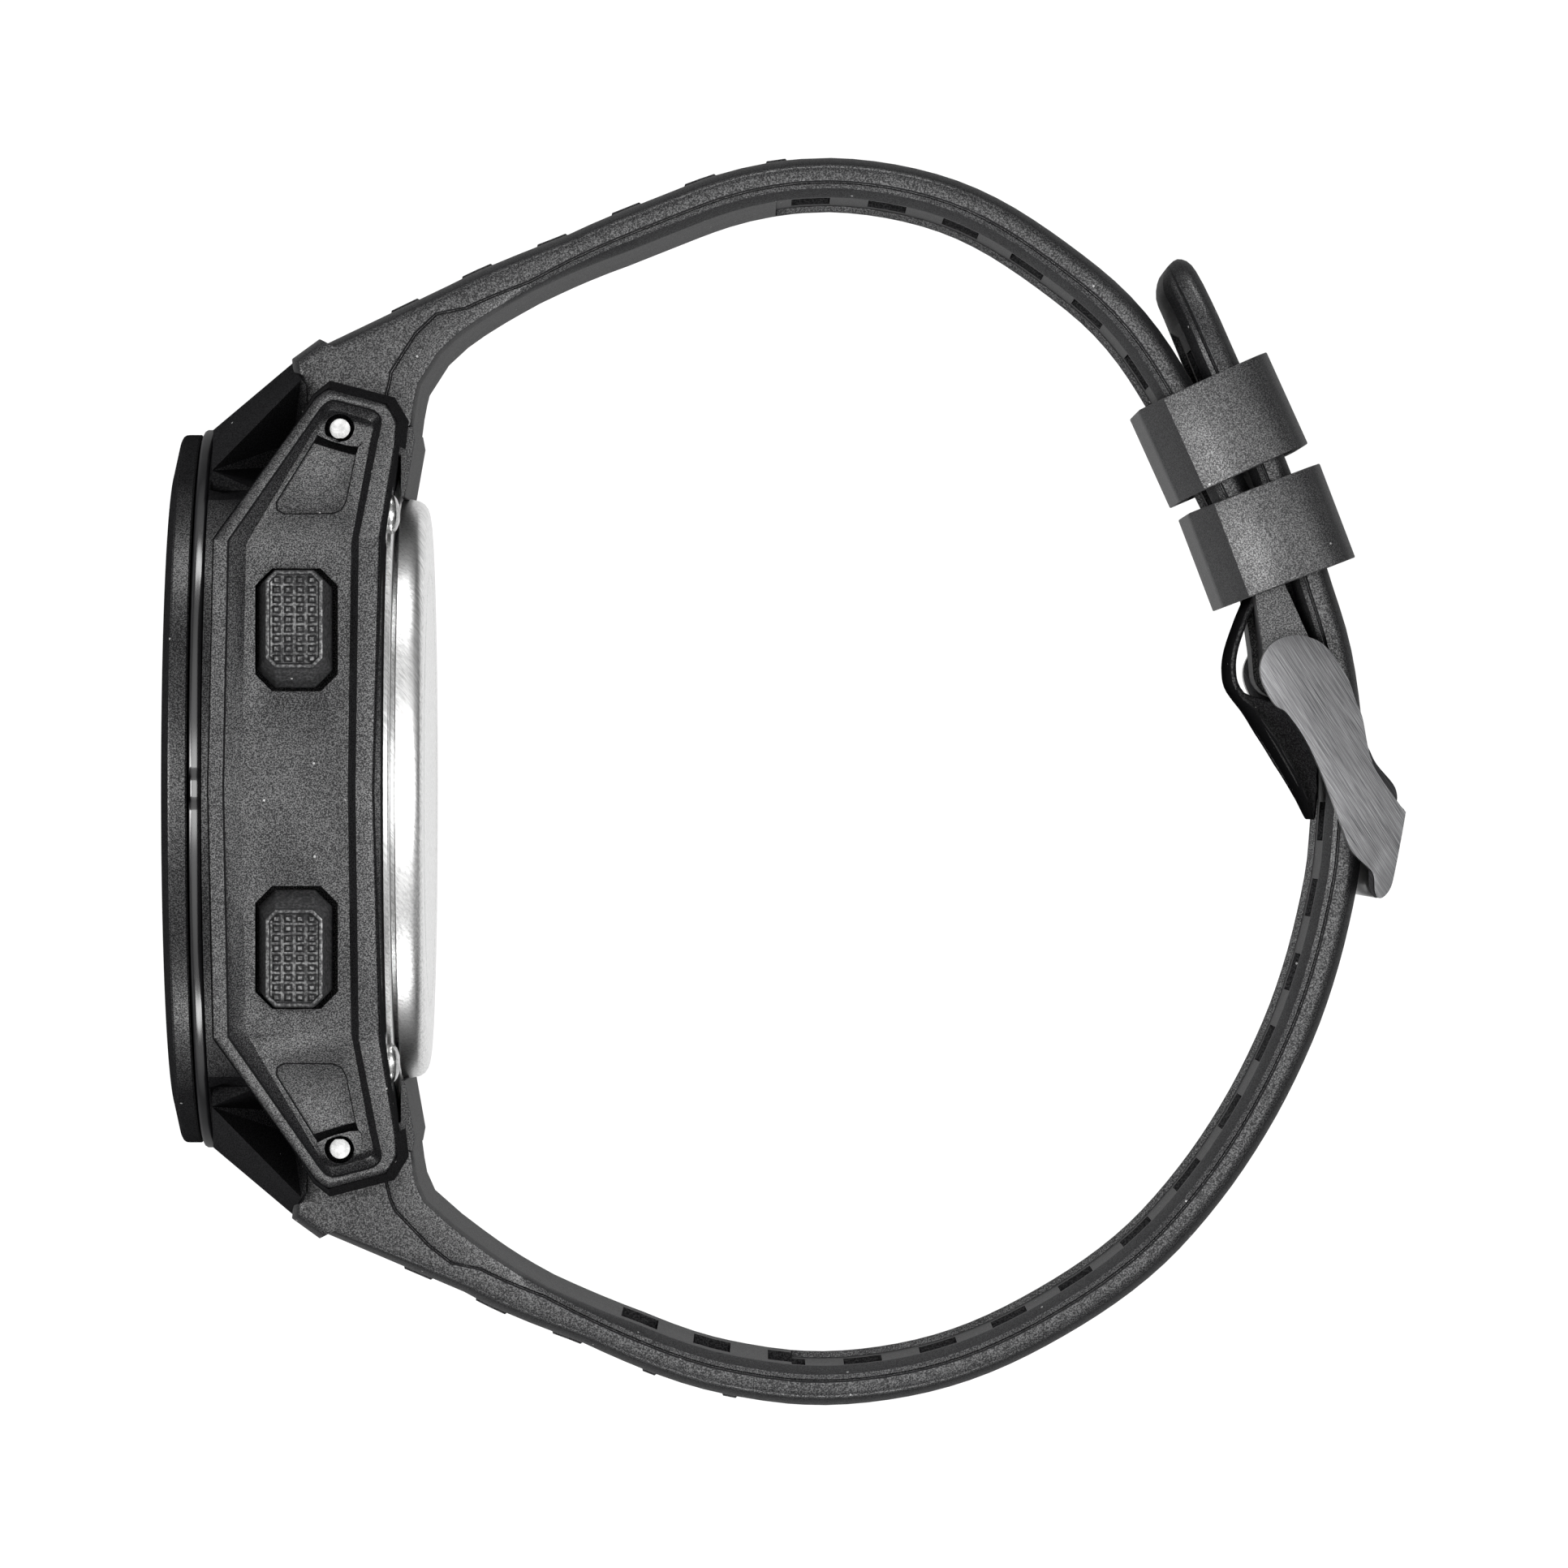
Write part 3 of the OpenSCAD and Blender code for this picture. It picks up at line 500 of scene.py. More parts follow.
wrist = {
    "depth": 54.0,
    "height": 71.0,
    "root": (-0.3, 24.1),
    "shape": [(0.04, 0.764), (0.157, 0.868), (0.26, 0.936), (0.362, 0.99), (0.468, 1.003),
        (0.587, 0.963), (0.696, 0.862), (0.778, 0.744), (0.859, 0.535), (0.92, 0.338),
        (0.966, 0.183), (0.998, -0.04), (0.984, -0.22), (0.944, -0.411), (0.877, -0.6),
        (0.789, -0.761), (0.685, -0.873), (0.574, -0.949), (0.45, -0.98), (0.337, -0.962),
        (0.241, -0.915), (0.12, -0.826), (0.04, -0.744)],
    "steps": 5,
}


def buildWristLine():
    root = Vector(wrist["root"])
    low = Vector((root.x, -root.y))
    way = [root - Vector((0.5, 3)), root]
    way += [Vector((a * wrist["depth"], b * wrist["height"] / 2)) for a, b in wrist["shape"]]
    way += [low, low + Vector((-0.5, 3))]
    points = [splinePoint(*way[i - 1:i + 3], k / wrist["steps"])
        for i in range(1, len(way) - 2) for k in range(wrist["steps"])]
    runs = [0.0]
    for a, b in zip(points, points[1:]):
        runs.append(runs[-1] + (b - a).length)
    return points, runs


wristLine, wristRuns = buildWristLine()
loopLength = wristRuns[-1]


def linePlace(s):
    s = min(max(s, 0.0), loopLength)
    i = next(k for k in range(1, len(wristRuns)) if wristRuns[k] >= s - 1e-9)
    t = (s - wristRuns[i - 1]) / (wristRuns[i] - wristRuns[i - 1])
    return wristLine[i - 1].lerp(wristLine[i], t)


def lineHeading(s):
    return (linePlace(s + 0.8) - linePlace(s - 0.8)).normalized()


def offLine(s, out):
    along = lineHeading(s)
    return linePlace(s) + out * Vector((-along.y, along.x))


# Straps

strap = {
    "thick": 2.1, "recess": 0.35, "rootExtra": 1.4, "taper": 12.0,
    "pitch": 4.65, "slotLength": 2.3, "swell": 0.3, "firstSlot": 26.7,
    "padLength": 2.0, "padHeight": 0.24, "padFirst": 6.65, "rootPad": 3.0,
    "rowStep": 1.15, "gap": 0.25, "tailLift": 0.5, "tipSpring": 26.0,
    # thinner than this it is squeezed, and this much of its edge stays over the groove
    "thinBelow": 1.8, "edgeLeft": 0.95, "recessRun": 24.5, "rowsFrom": 5.0,
    # the groove at the root runs out where the swell towards the wrist sets in
    "groove": 1.3, "grooveRun": 9.0, "swellRun": 6.0, "shoulder": (-6.1, 26.55),
    "tipCuts": (0.05, 0.18, 0.4, 0.7, 1.05, 1.7, 2.5, 3.6, 5.0, 6.5),
    # inner and outer points of the rows between the lugs
    "root": [(-3.6, 19.7, -7.6, 23.1), (-0.75, 21.6, -8.0, 25.2), (-0.62, 22.6, -8.05, 25.7),
        (-0.45, 23.5, -6.4, 26.9)],
    "lip": [(-0.75, 21.6), (-0.6, 20.8), (-1.2, 17.4), (-1.45, 17.4), (-1.45, 19.9),
        (-2.9, 19.9), (-3.4, 21.0)],
    "lipHalf": 10.8,
}
pinHeight = wrist["height"] / 10
pinRun = next(run + (a.y - pinHeight) / (a.y - b.y) * (b - a).length
    for run, a, b in zip(wristRuns, wristLine, wristLine[1:])
    if a.x > wrist["depth"] * 0.7 and a.y >= pinHeight > b.y)
pin = linePlace(pinRun) - Vector((0.2, 0))
neckRun, rideRun, landRun, tipRun = pinRun - 5.07, pinRun - 5.5, pinRun + 9.85, pinRun - 23.7
homeRun, upperRun, lowerRun = pinRun + 4.68, pinRun - 14.85, pinRun - 8.04

# Half of the strap's section: (across, above the inner face) and (across, below the outer face)
innerSection = [(0, "r"), (5.8, "r"), (7, "r"), (8.2, "r"), (8.35, "rim"), (9.3, "rim"),
    (10.5, 0.16), (10.66, 0.42), (10.54, 0.53), (11, 0.62)]
outerSection = [(0, 0), (5.8, 0), (7, 0), (8.4, 0.02), (9.5, 0.1), (10.1, 0.26), (10.6, 0.44),
    (10.88, 0.62), (10.97, 0.78), (11, 0.92)]


def atPin(points):
    return [pin + Vector(p) for p in points]


def thickAt(s):
    return strap["thick"] + strap["rootExtra"] * max(0.0, 1 - s / strap["taper"])


def liftAt(s):
    # how high the long strap lies on the short one
    if s > landRun:
        return 0.0
    rise = (strap["thick"] + strap["gap"]) * min(1.0, (landRun - s) / (landRun - rideRun))
    t = min(1.0, max(0.0, (rideRun - s) / (rideRun - upperRun)))
    rise += strap["tailLift"] * t * t * (3 - 2 * t)
    return rise + max(0.0, upperRun - s) ** 2 / (2 * strap["tipSpring"])


def stripRuns(start, end, cuts):
    # places along the strap: even steps, and a row at each cut
    runs = sorted({round(c, 3) for c in cuts if start < c < end} | {start, end})
    out = [runs[0]]
    for a, b in zip(runs, runs[1:]):
        parts = max(1, round((b - a) / strap["rowStep"]))
        out += [a + (b - a) * k / parts for k in range(1, parts + 1)]
    return out


def depthAt(row, column, inner):
    # how far a corner of the section lies from the inner face
    full, thick = strap["thick"], (row["outer"] - row["inner"]).length
    thin = thick < strap["thinBelow"]
    if not inner:
        depth = outerSection[abs(column)][1]
        return thick - (depth * thick / full if thin else depth)
    depth = innerSection[abs(column)][1]
    depth = {"r": row["recess"], "rim": -row["swell"]}.get(depth, depth)
    if abs(column) >= len(innerSection) - 3:
        depth += row["groove"]
    if thin:
        return thick / 2 + (depth - full / 2) * thick / full
    return min(depth, thick - strap["edgeLeft"]) if depth > 0.3 else depth


def buildStrip(rows, slots, pads):
    # a row holds its inner and outer point, share of the width, recess, groove lift and run
    half, last = len(innerSection) - 1, len(rows) - 1
    bm = bmesh.new()
    bmesh.ops.create_grid(bm, x_segments=last, y_segments=2 * half, size=1.0)
    spots = {}

    def noteSpots(verts):
        # row, and column from the middle
        for vert in verts:
            spots[vert] = round((vert.co.x + 1) / 2 * last), round(vert.co.y * half)

    def isMiddle(face):
        return max(abs(spots[v][1]) for v in face.verts) <= 1

    def within(face, places, length):
        runs = [rows[spots[v][0]]["run"] for v in face.verts]
        middle = (min(runs) + max(runs)) / 2
        return isMiddle(face) and any(abs(middle - c) < length / 2 for c in places)

    noteSpots(bm.verts)
    gone = [f for f in bm.faces if within(f, slots, strap["slotLength"])]
    bmesh.ops.delete(bm, geom=gone, context="FACES")
    inner, skins = set(bm.verts), set(bm.faces)
    raised = bmesh.ops.extrude_face_region(bm, geom=bm.faces[:], use_keep_orig=True)["geom"]
    noteSpots(pick(raised))
    top = pick(raised, "Face")
    skins.update(top)
    for vert, (i, column) in spots.items():
        if not vert.is_valid:
            continue
        row, across = rows[i], innerSection if vert in inner else outerSection
        thick = (row["outer"] - row["inner"]).length
        spot = row["inner"].lerp(row["outer"], depthAt(row, column, vert in inner) / thick)
        vert.co = (spot.x, spot.y,
            math.copysign(across[abs(column)][0], column) * row["share"])
    turnOut(bm)
    # the slots' walls take the darker resin, as painted shade in the slots
    for face in bm.faces:
        if face not in skins and isMiddle(face) \
                and 0 < min(spots[v][0] for v in face.verts) < last - 1:
            face.material_index = 1
    padFaces = [[f for f in top if within(f, [pad], strap["padLength"])] for pad in pads]
    for faces in padFaces:
        if faces:
            bmesh.ops.inset_region(bm, faces=faces, thickness=0.2, depth=strap["padHeight"])
    return bm


def rootRows(end):
    # the strap's end between the lugs, from the spring bar outwards; end is +1 at 12 o'clock
    def at(t, out):
        return offLine(t if end > 0 else loopLength - t, out)

    shoulder = Vector((strap["shoulder"][0], strap["shoulder"][1] * end))
    edge = at(strap["rowsFrom"], thickAt(strap["rowsFrom"]))
    slope = (edge - shoulder).length
    # two rows for the pad on the slope, and a low step where the root meets the hood
    before = [1 - (strap["rootPad"] + k * strap["padLength"] / 2) / slope for k in (1, -1)]
    pairs = [((x, y * end), (a, b * end)) for x, y, a, b in strap["root"]]
    pairs += [(at(0, 0), shoulder), (at(2.2, 0), shoulder.lerp(edge, before[0])),
        (at(3.8, 0), shoulder.lerp(edge, before[1]))]
    rows = []
    for k, (a, b) in enumerate(pairs):
        run = 2.0 * (k - len(pairs)) + 1
        rows.append({"inner": Vector(a), "outer": Vector(b), "share": 1.0, "recess": 0.0,
            "swell": 0.0, "groove": 1.35 if k > 0 else 0.6,
            "run": run if end > 0 else loopLength - run})
    return rows


def strapRow(s, end, recess):
    t, lift = (s, 0.0) if end > 0 else (loopLength - s, liftAt(s))
    past = t - strap["grooveRun"]
    swell = strap["swell"] * min(1.0, max(0.0, past) / strap["swellRun"])
    groove = strap["groove"] * max(0.0, -past / strap["grooveRun"])
    return {"inner": offLine(s, lift), "outer": offLine(s, lift + thickAt(t)), "share": 1.0,
        "recess": recess - swell, "swell": swell, "groove": groove, "run": s}


def strapRows(end, start, stop, slots, pads, recessed, more):
    # rows at even steps, and at the ends of each slot, pad and recess
    cuts = [c + k * length / 2 for centres, length in ((slots, strap["slotLength"]),
        (pads, strap["padLength"])) for c in centres for k in (-1, 1)]
    low, high = recessed
    return [strapRow(s, end, recess=strap["recess"] if low < s < high else 0.0)
        for s in stripRuns(start, stop, cuts + more)]


def finishStrap(bm, name, node, end):
    # with the lip that lies over the rim of the case back
    prism(bm, [(x, y * end) for x, y in strap["lip"]], -strap["lipHalf"], strap["lipHalf"])
    softenEdges(bm, 0.06, angle=38, segments=1)
    finishPiece(name, bm, strapResin, "watch", [node], second=paintedShadeResin)


def buildShortStrap():
    slots = [strap["firstSlot"] + k * strap["pitch"] for k in range(10)]
    slots = [c for c in slots if c < neckRun - 2]
    pads = [-2.0] + [strap["padFirst"] + k * strap["pitch"] for k in range(5)]
    low, high = strap["recessRun"], neckRun - 3
    rows = rootRows(1) + strapRows(1, strap["rowsFrom"], neckRun, slots, pads,
        (low + 0.05, high), [low, low + 0.1, high])
    bm = buildStrip(rows, slots, pads)
    buildClaspEnd(bm)
    finishStrap(bm, "shortStrap", "short_strap", 1)


def buildLongStrap():
    slots = [homeRun + (k - 5) * strap["pitch"] for k in range(20)]
    pads = [loopLength + 2.0]
    pads += [loopLength - strap["padFirst"] - k * strap["pitch"] for k in range(4)]
    low, high = tipRun + 3, loopLength - strap["recessRun"]
    rows = strapRows(-1, tipRun, loopLength - strap["rowsFrom"], slots, pads,
        (low, high + 0.05), [tipRun + d for d in strap["tipCuts"]] + [low, high, high + 0.1])
    # the end narrows, and thins at its edge
    for row in rows:
        fromTip = row["run"] - tipRun
        row["share"] = 0.5 + 0.5 * math.sqrt(1 - max(0.0, 1 - fromTip / strap["tipCuts"][-1]) ** 2)
        pinch = 0.4 * (1 - math.sqrt(1 - max(0.0, 1 - fromTip / 1.1) ** 2))
        a, b = row["inner"], row["outer"]
        row["inner"], row["outer"] = a.lerp(b, pinch), b.lerp(a, pinch)
    rows += reversed(rootRows(-1))
    finishStrap(buildStrip(rows, slots, pads), "longStrap", "long_strap", -1)


# The short strap's end, with the tube round the buckle's bar and the flap over the wrist
clasp = {
    "flapOuter": [(-2.8, 3.3), (-3.45, 1.4), (-3.6, 0), (-3.3, -1.2), (-2.1, -2.7),
        (-0.6, -5), (0.75, -7.4), (1.4, -9)],
    # (height from the pin, thickness, half width), from the top down
    "flapShape": [(3, 0.35, 7), (-1.7, 0.35, 7), (-2.6, 1.2, 9), (-3.6, 2.0, 10.6),
        (-5.5, 2.1, 10.6), (-7.4, 0.9, 8), (-8.6, 0.4, 5.5), (-9, 0.25, 4)],
    "body": [(-2.0, 2.35), (-1.85, 1.3)], "tube": 1.5, "tubeSpot": (-0.25, 0), "tongueRoom": 4.5,
    "half": 10.95, "bridge": [(-1.25, 2.5), (-0.9, 1.9), (0.9, 2.4)],
}


def flapAt(y):
    # thickness and half width
    shape = clasp["flapShape"]
    for a, b in zip(shape, shape[1:]):
        if y > b[0]:
            t = min(1.0, (a[0] - y) / (a[0] - b[0])) if y < a[0] else 0.0
            return a[1] + (b[1] - a[1]) * t, a[2] + (b[2] - a[2]) * t
    return shape[-1][1:]


def buildFlap():
    # a thin tongue of resin over the wrist, narrowing to a round end, in the darker resin that
    # paints shade on it
    outer = [offLine(neckRun - 0.4, 0)] + smoothOutline(atPin(clasp["flapOuter"]), closed=False)
    inner = []
    for i, p in enumerate(outer):
        along = (outer[min(i + 1, len(outer) - 1)] - outer[max(i - 1, 0)]).normalized()
        inner.append(p + flapAt(p.y - pin.y)[0] * Vector((-along.y, along.x)))
    inner[0] = offLine(neckRun - 1, strap["thick"] * 0.8)
    outline = outer + inner[::-1]
    halves = [flapAt(p.y - pin.y)[1] for p in outer]
    halves += halves[::-1]
    bm = bmesh.new()
    for vert in prism(bm, outline, -1, 1):
        vert.co.z *= halves[nearestPoint(outline, vert.co.x, vert.co.y)]
    softenEdges(bm, 0.12, angle=60, segments=2)
    finishPiece("claspFlap", bm, paintedShadeResin, "watch")


def buildClaspEnd(bm):
    root = [offLine(neckRun - 2, 0.2)]
    neck = [offLine(neckRun, 1.5), offLine(neckRun - 1.4, 1.7),
        offLine(neckRun - 2.6, strap["thick"])]
    tube = arc(pin + Vector(clasp["tubeSpot"]), clasp["tube"], 180, 360, 24)
    body = root + atPin(clasp["body"]) + tube + atPin([(1.25, 1.2)]) + neck
    room = clasp["tongueRoom"]
    for low, high in ((-clasp["half"], -room), (room, clasp["half"])):
        prism(bm, body, low, high)
    prism(bm, root + atPin(clasp["bridge"]) + neck, -room, room)


buildFlap()
buildShortStrap()
buildLongStrap()
print("straps ready")


# Keepers

keeper = {
    "length": 6.0, "round": 0.42,
    # degrees to turn from the strap's own direction, and a shift in mm
    "keeper_upper": (-4.0, (0.16, 0.26)), "keeper_lower": (-3.5, (0, 0)),
    # (across, above the wrist line), from the middle of the inner face to that of the outer one
    "outside": [(0, -2.1), (5, -2.1), (8.6, -2.08), (12.0, -0.6), (12.42, 0.55), (12.6, 1.6),
        (12.62, 3.2), (12.45, 4.4), (12.1, 5.1), (11.7, 5.5), (11.1, 5.85),
        (9.6, 6.25), (8, 6.33), (5, 6.36)],
    "inside": [(0, -1.2), (5, -1.2), (7.5, -1.3), (9.2, -1.25), (10.4, -0.9), (11.15, -0.55),
        (11.25, 0.2), (11.25, 1.6), (11.25, 3.6), (11.25, 4.4), (11.1, 5.0), (10.7, 5.22),
        (9.6, 5.25), (5, 5.25)],
}


def buildKeeper(name, run, node):
    def ringOf(half):
        # the half outline and its mirror image, with the outer side's middle between them
        points = list(half) + [(0, half[-1][1])] + [(-v, w) for v, w in reversed(half[1:])]
        return addLoop(bm, [(-keeper["length"] / 2, w, v) for v, w in points])[1]

    bm = bmesh.new()
    addPlate(bm, [ringOf(keeper["outside"]), ringOf(keeper["inside"])], (keeper["length"], 0, 0))
    turnOut(bm)
    softenEdges(bm, keeper["round"], angle=60, segments=4)
    degrees, shift = keeper[node]
    along = lineHeading(run)
    turn = Matrix.Rotation(math.radians(degrees) + math.atan2(along.y, along.x), 4, "Z")
    place = Matrix.Translation((linePlace(run) + Vector(shift)).to_3d())
    bmesh.ops.transform(bm, matrix=place @ turn, verts=bm.verts[:])
    finishPiece(name, bm, keeperResin, node, [node], smooth=23)


buildKeeper("upperKeeper", upperRun, "keeper_upper")
buildKeeper("lowerKeeper", lowerRun, "keeper_lower")
print("keepers ready")


# Buckle

buckle = {
    "armLow": 11.4, "armHigh": 13.3, "tongueHalf": 4.2, "tongueEye": 1.3,
    "arm": [(-1.95, -0.7), (-1.2, -2.1), (-0.5, -2.6), (0.5, -4), (1.4, -5.8), (2.1, -7.5),
        (2.8, -9.4), (3.3, -10.7), (3.8, -11.3), (4.6, -12.1), (4.75, -13.3), (5.1, -13.6),
        (5.6, -13.1), (5.9, -12.1), (6.5, -8.9), (6.5, -8.4), (6.1, -7.9), (4.6, -5.6),
        (4, -2.9), (3.6, -1.9), (3.2, -0.7), (2.5, 0.5), (1.8, 1.35), (1.1, 1.8), (0, 2.03),
        (-1.3, 1.6), (-2.0, 0.5)],
    "crossbar": [(4.55, -8.4), (4.45, -12.1), (4.6, -13.3), (5, -13.6), (5.6, -13.1),
        (5.9, -12.1), (6.5, -8.9), (6.3, -8.4), (5.2, -8.25)],
    "tongue": [(-0.9, -1), (0.5, -3.2), (1.2, -4.2), (2, -4.5), (4.3, -4.65), (4.7, -5.1),
        (5, -6.1), (5.45, -7.2), (5.9, -7.95), (6.45, -7.95), (6.55, -7.5), (6.3, -6.8),
        (5.3, -5.6), (4.8, -4.6), (4.3, -3.9), (2.3, -3.7), (1.7, -3), (1.1, -0.6)],
}


def buildBuckleFrame():
    bm = bmesh.new()
    arm = smoothOutline(atPin(buckle["arm"]), steps=5)
    for side in (-1, 1):
        prism(bm, arm, *sorted((side * buckle["armLow"], side * buckle["armHigh"])))
    turnOut(bm)
    softenEdges(bm, 0.24, angle=60, segments=3)
    # the arms' inner faces take the darker steel, as painted shade
    for face in bm.faces:
        if max(abs(v.co.z) for v in face.verts) < buckle["armHigh"] - 0.5:
            face.material_index = 1
    finishPiece("buckleFrame", bm, gunmetal, "buckle_frame", ["buckle_frame"],
        smooth=25, second=shadedSteel)


def buildCrossbar():
    bm = bmesh.new()
    half = buckle["armLow"] + 0.1
    prism(bm, smoothOutline(atPin(buckle["crossbar"])), -half, half)
    # the crossbar is in the darker steel, as painted shade
    finishPiece("buckleCrossbar", bm, shadedSteel, "buckle_frame")


def buildBuckleTongue():
    bm = bmesh.new()
    half = buckle["tongueHalf"]
    prism(bm, smoothOutline(atPin(buckle["tongue"])), -half, half)
    prism(bm, arc(pin, buckle["tongueEye"], 0, 352.5, 47), -half, half)
    turnOut(bm)
    softenEdges(bm, 0.2, angle=60, segments=2)
    finishPiece("buckleTongue", bm, shadedSteel, "buckle_tongue", ["buckle_tongue"])


buildCrossbar()
buildBuckleFrame()
buildBuckleTongue()
print("buckle ready")


# Head

guard = {
    "top": 23.5, "flat": 14.7, "fall": 0.859,
    "floor": 22.3, "floorFlat": 14.34, "floorFall": 0.827,
    # half outlines, from the 3 o'clock line round the 12 o'clock end
    "outside": [(-12.4, 0), (-12.07, 14.6), (-6.3, 23.2), (-5.6, 23.7), (-2.1, 22.75),
        (-1.45, 21.7), (-1.5, 20.3), (-2.25, 14.7), (-2.65, 0)],
    "rim": [(-11.4, 0), (-11.1, 14.5), (-5.85, 22.6), (-5.35, 22.95), (-2.85, 22.3), (-2.4, 21.85),
        (-2.7, 20.2), (-3.6, 14.7), (-3.8, 0)],
    "floorEdge": [(-10.45, 0), (-10.15, 14.34), (-5.95, 22.0), (-5.5, 22.45), (-3.2, 21.85),
        (-2.85, 21.5), (-3.1, 20.2), (-4.0, 14.34), (-4.2, 0)],
    "cornerCut": 0.35, "edge": 0.12, "skirt": 0.9, "draft": 0.1, "drop": 0.55,
    # the cap stands proud of the case, whose own top is cut a little inside it
    "proud": 0.015, "cut": 0.03, "topsAbove": 12.9,
    "recess": [(-6.19, 20.88), (-6.41, 20.49), (-8.5, 16.85), (-8.45, 16.35), (-8.0, 16.1),
        (-5.15, 16.12), (-4.6, 16.35), (-4.33, 16.9), (-3.86, 19.73), (-3.74, 20.14)],
    "recessMiddle": (-6.1, 18.3), "recessDepth": 0.42, "recessDraft": 0.09, "slotDepth": 0.8,
    "pocket": (4.85, 7.2, 1.0), "pocketSpot": (-7.2, 9.3), "pocketFloor": 19.6,
    "end": [(-8.9, 19.4), (-6.3, 23.15), (-5.6, 23.6), (-2.15, 22.7), (-1.5, 21.7), (-1.55, 20.3)],
    "foot": [(-9.0, 19.5), (-6.65, 23.5), (-5.65, 24.3), (-1.8, 23.3), (-0.95, 21.9),
        (-1.15, 20.2)],
    "footZ": 11.3, "footSink": 0.12,
    "tab": [(-6.16, 20.9), (-5.72, 21.9), (-5.31, 22.2), (-4.64, 22.2), (-3.97, 21.95),
        (-3.66, 21.5), (-3.76, 20.2)],
    "tabHole": 0.92, "tabRise": 0.09, "bore": 0.88, "boreDepth": 1.6,
}
hood = {
    # the flat sides, and where they go: the crease's corner, and rows across the valley
    "z": 12.85, "from": 17, "creaseX": -12, "creaseY": 17.73, "corner": 12.1,
    "walls": (-10.2, -6.9), "reach": 22.3, "row": (-9.97, 0.99),
    "valley": [12.85, 9.6, 8.2, 11.45],
    # the flats beside the bezel, which take the darker resin as painted shade
    "flatX": -9.6, "flatY": 19.2, "flatZ": (11.5, 13.2),
}
barSpot = (-4.9, 21.3)


def guardSkin(y):
    return guard["top"] - guard["fall"] * max(0.0, abs(y) - guard["flat"])


def guardFloor(y):
    return guard["floor"] - guard["floorFall"] * max(0.0, abs(y) - guard["floorFlat"])


def guardLoop(half):
    # rounds the corners at the lug, and joins the half outline to its mirror image
    rounded = []
    for i, p in enumerate(half):
        spot = Vector(p)
        if 2 <= i <= 5:
            sides = [Vector(half[i - 1]) - spot, Vector(half[i + 1]) - spot]
            a, b = [spot + s * min(0.45, guard["cornerCut"] / s.length) for s in sides]
            rounded += [a, (a + 2 * spot + b) / 4, b]
        else:
            rounded.append(spot)
    return rounded + [Vector((p.x, -p.y)) for p in reversed(rounded) if p.y]


def movedLoop(points, out):
    # moves each side of a closed outline outwards, if its inside is on the right
    moved = []
    for before, p, after in zip(points[-1:] + points[:-1], points, points[1:] + points[:1]):
        a, b = (p - before).normalized(), (after - p).normalized()
        normal = Vector((-a.y - b.y, a.x + b.x)).normalized()
        moved.append(p + normal * out / max(0.5, normal.dot(Vector((-b.y, b.x)))))
    return moved


def insideLoop(x, y, points):
    inside = False
    for a, b in zip(points, points[1:] + points[:1]):
        if (a.y > y) != (b.y > y) and x < a.x + (y - a.y) / (b.y - a.y) * (b.x - a.x):
            inside = not inside
    return inside


def layLoop(bm, points, heightAt=lambda y: 0.0):
    return addLoop(bm, [(p[0], p[1], heightAt(p[1])) for p in points])[1]


def deepen(bm, edges):
    # walls down from a hole's edge, and a floor
    walls = bmesh.ops.extrude_edge_only(bm, edges=edges)["geom"]
    verts = pick(walls)
    low = [e for e in pick(walls, "Edge") if e.verts[0] in verts and e.verts[1] in verts]
    bmesh.ops.contextual_create(bm, geom=low)
    return verts


def sinkRecess(bm, verts):
    # the recess beside the bar's tab, with a slot along the tab
    recess = guard["recess"]
    ends = (0, len(recess) - 1)
    spots = {v: nearestPoint(recess, v.co.x, abs(v.co.y)) for v in verts}
    x, y = guard["recessMiddle"]
    middle = Vector((x, math.copysign(y, verts[0].co.y)))
    for vert in verts:
        inward = (middle - vert.co.xy).normalized() * guard["recessDraft"]
        vert.co.x += inward.x
        vert.co.y += inward.y
        vert.co.z = guardFloor(vert.co.y) - guard["recessDepth"]
    bmesh.ops.connect_verts(bm,
        verts=[v for v, i in spots.items() if i in (1, ends[1] - 1)])
    for vert, i in spots.items():
        if i in ends:
            vert.co.z -= guard["slotDepth"]


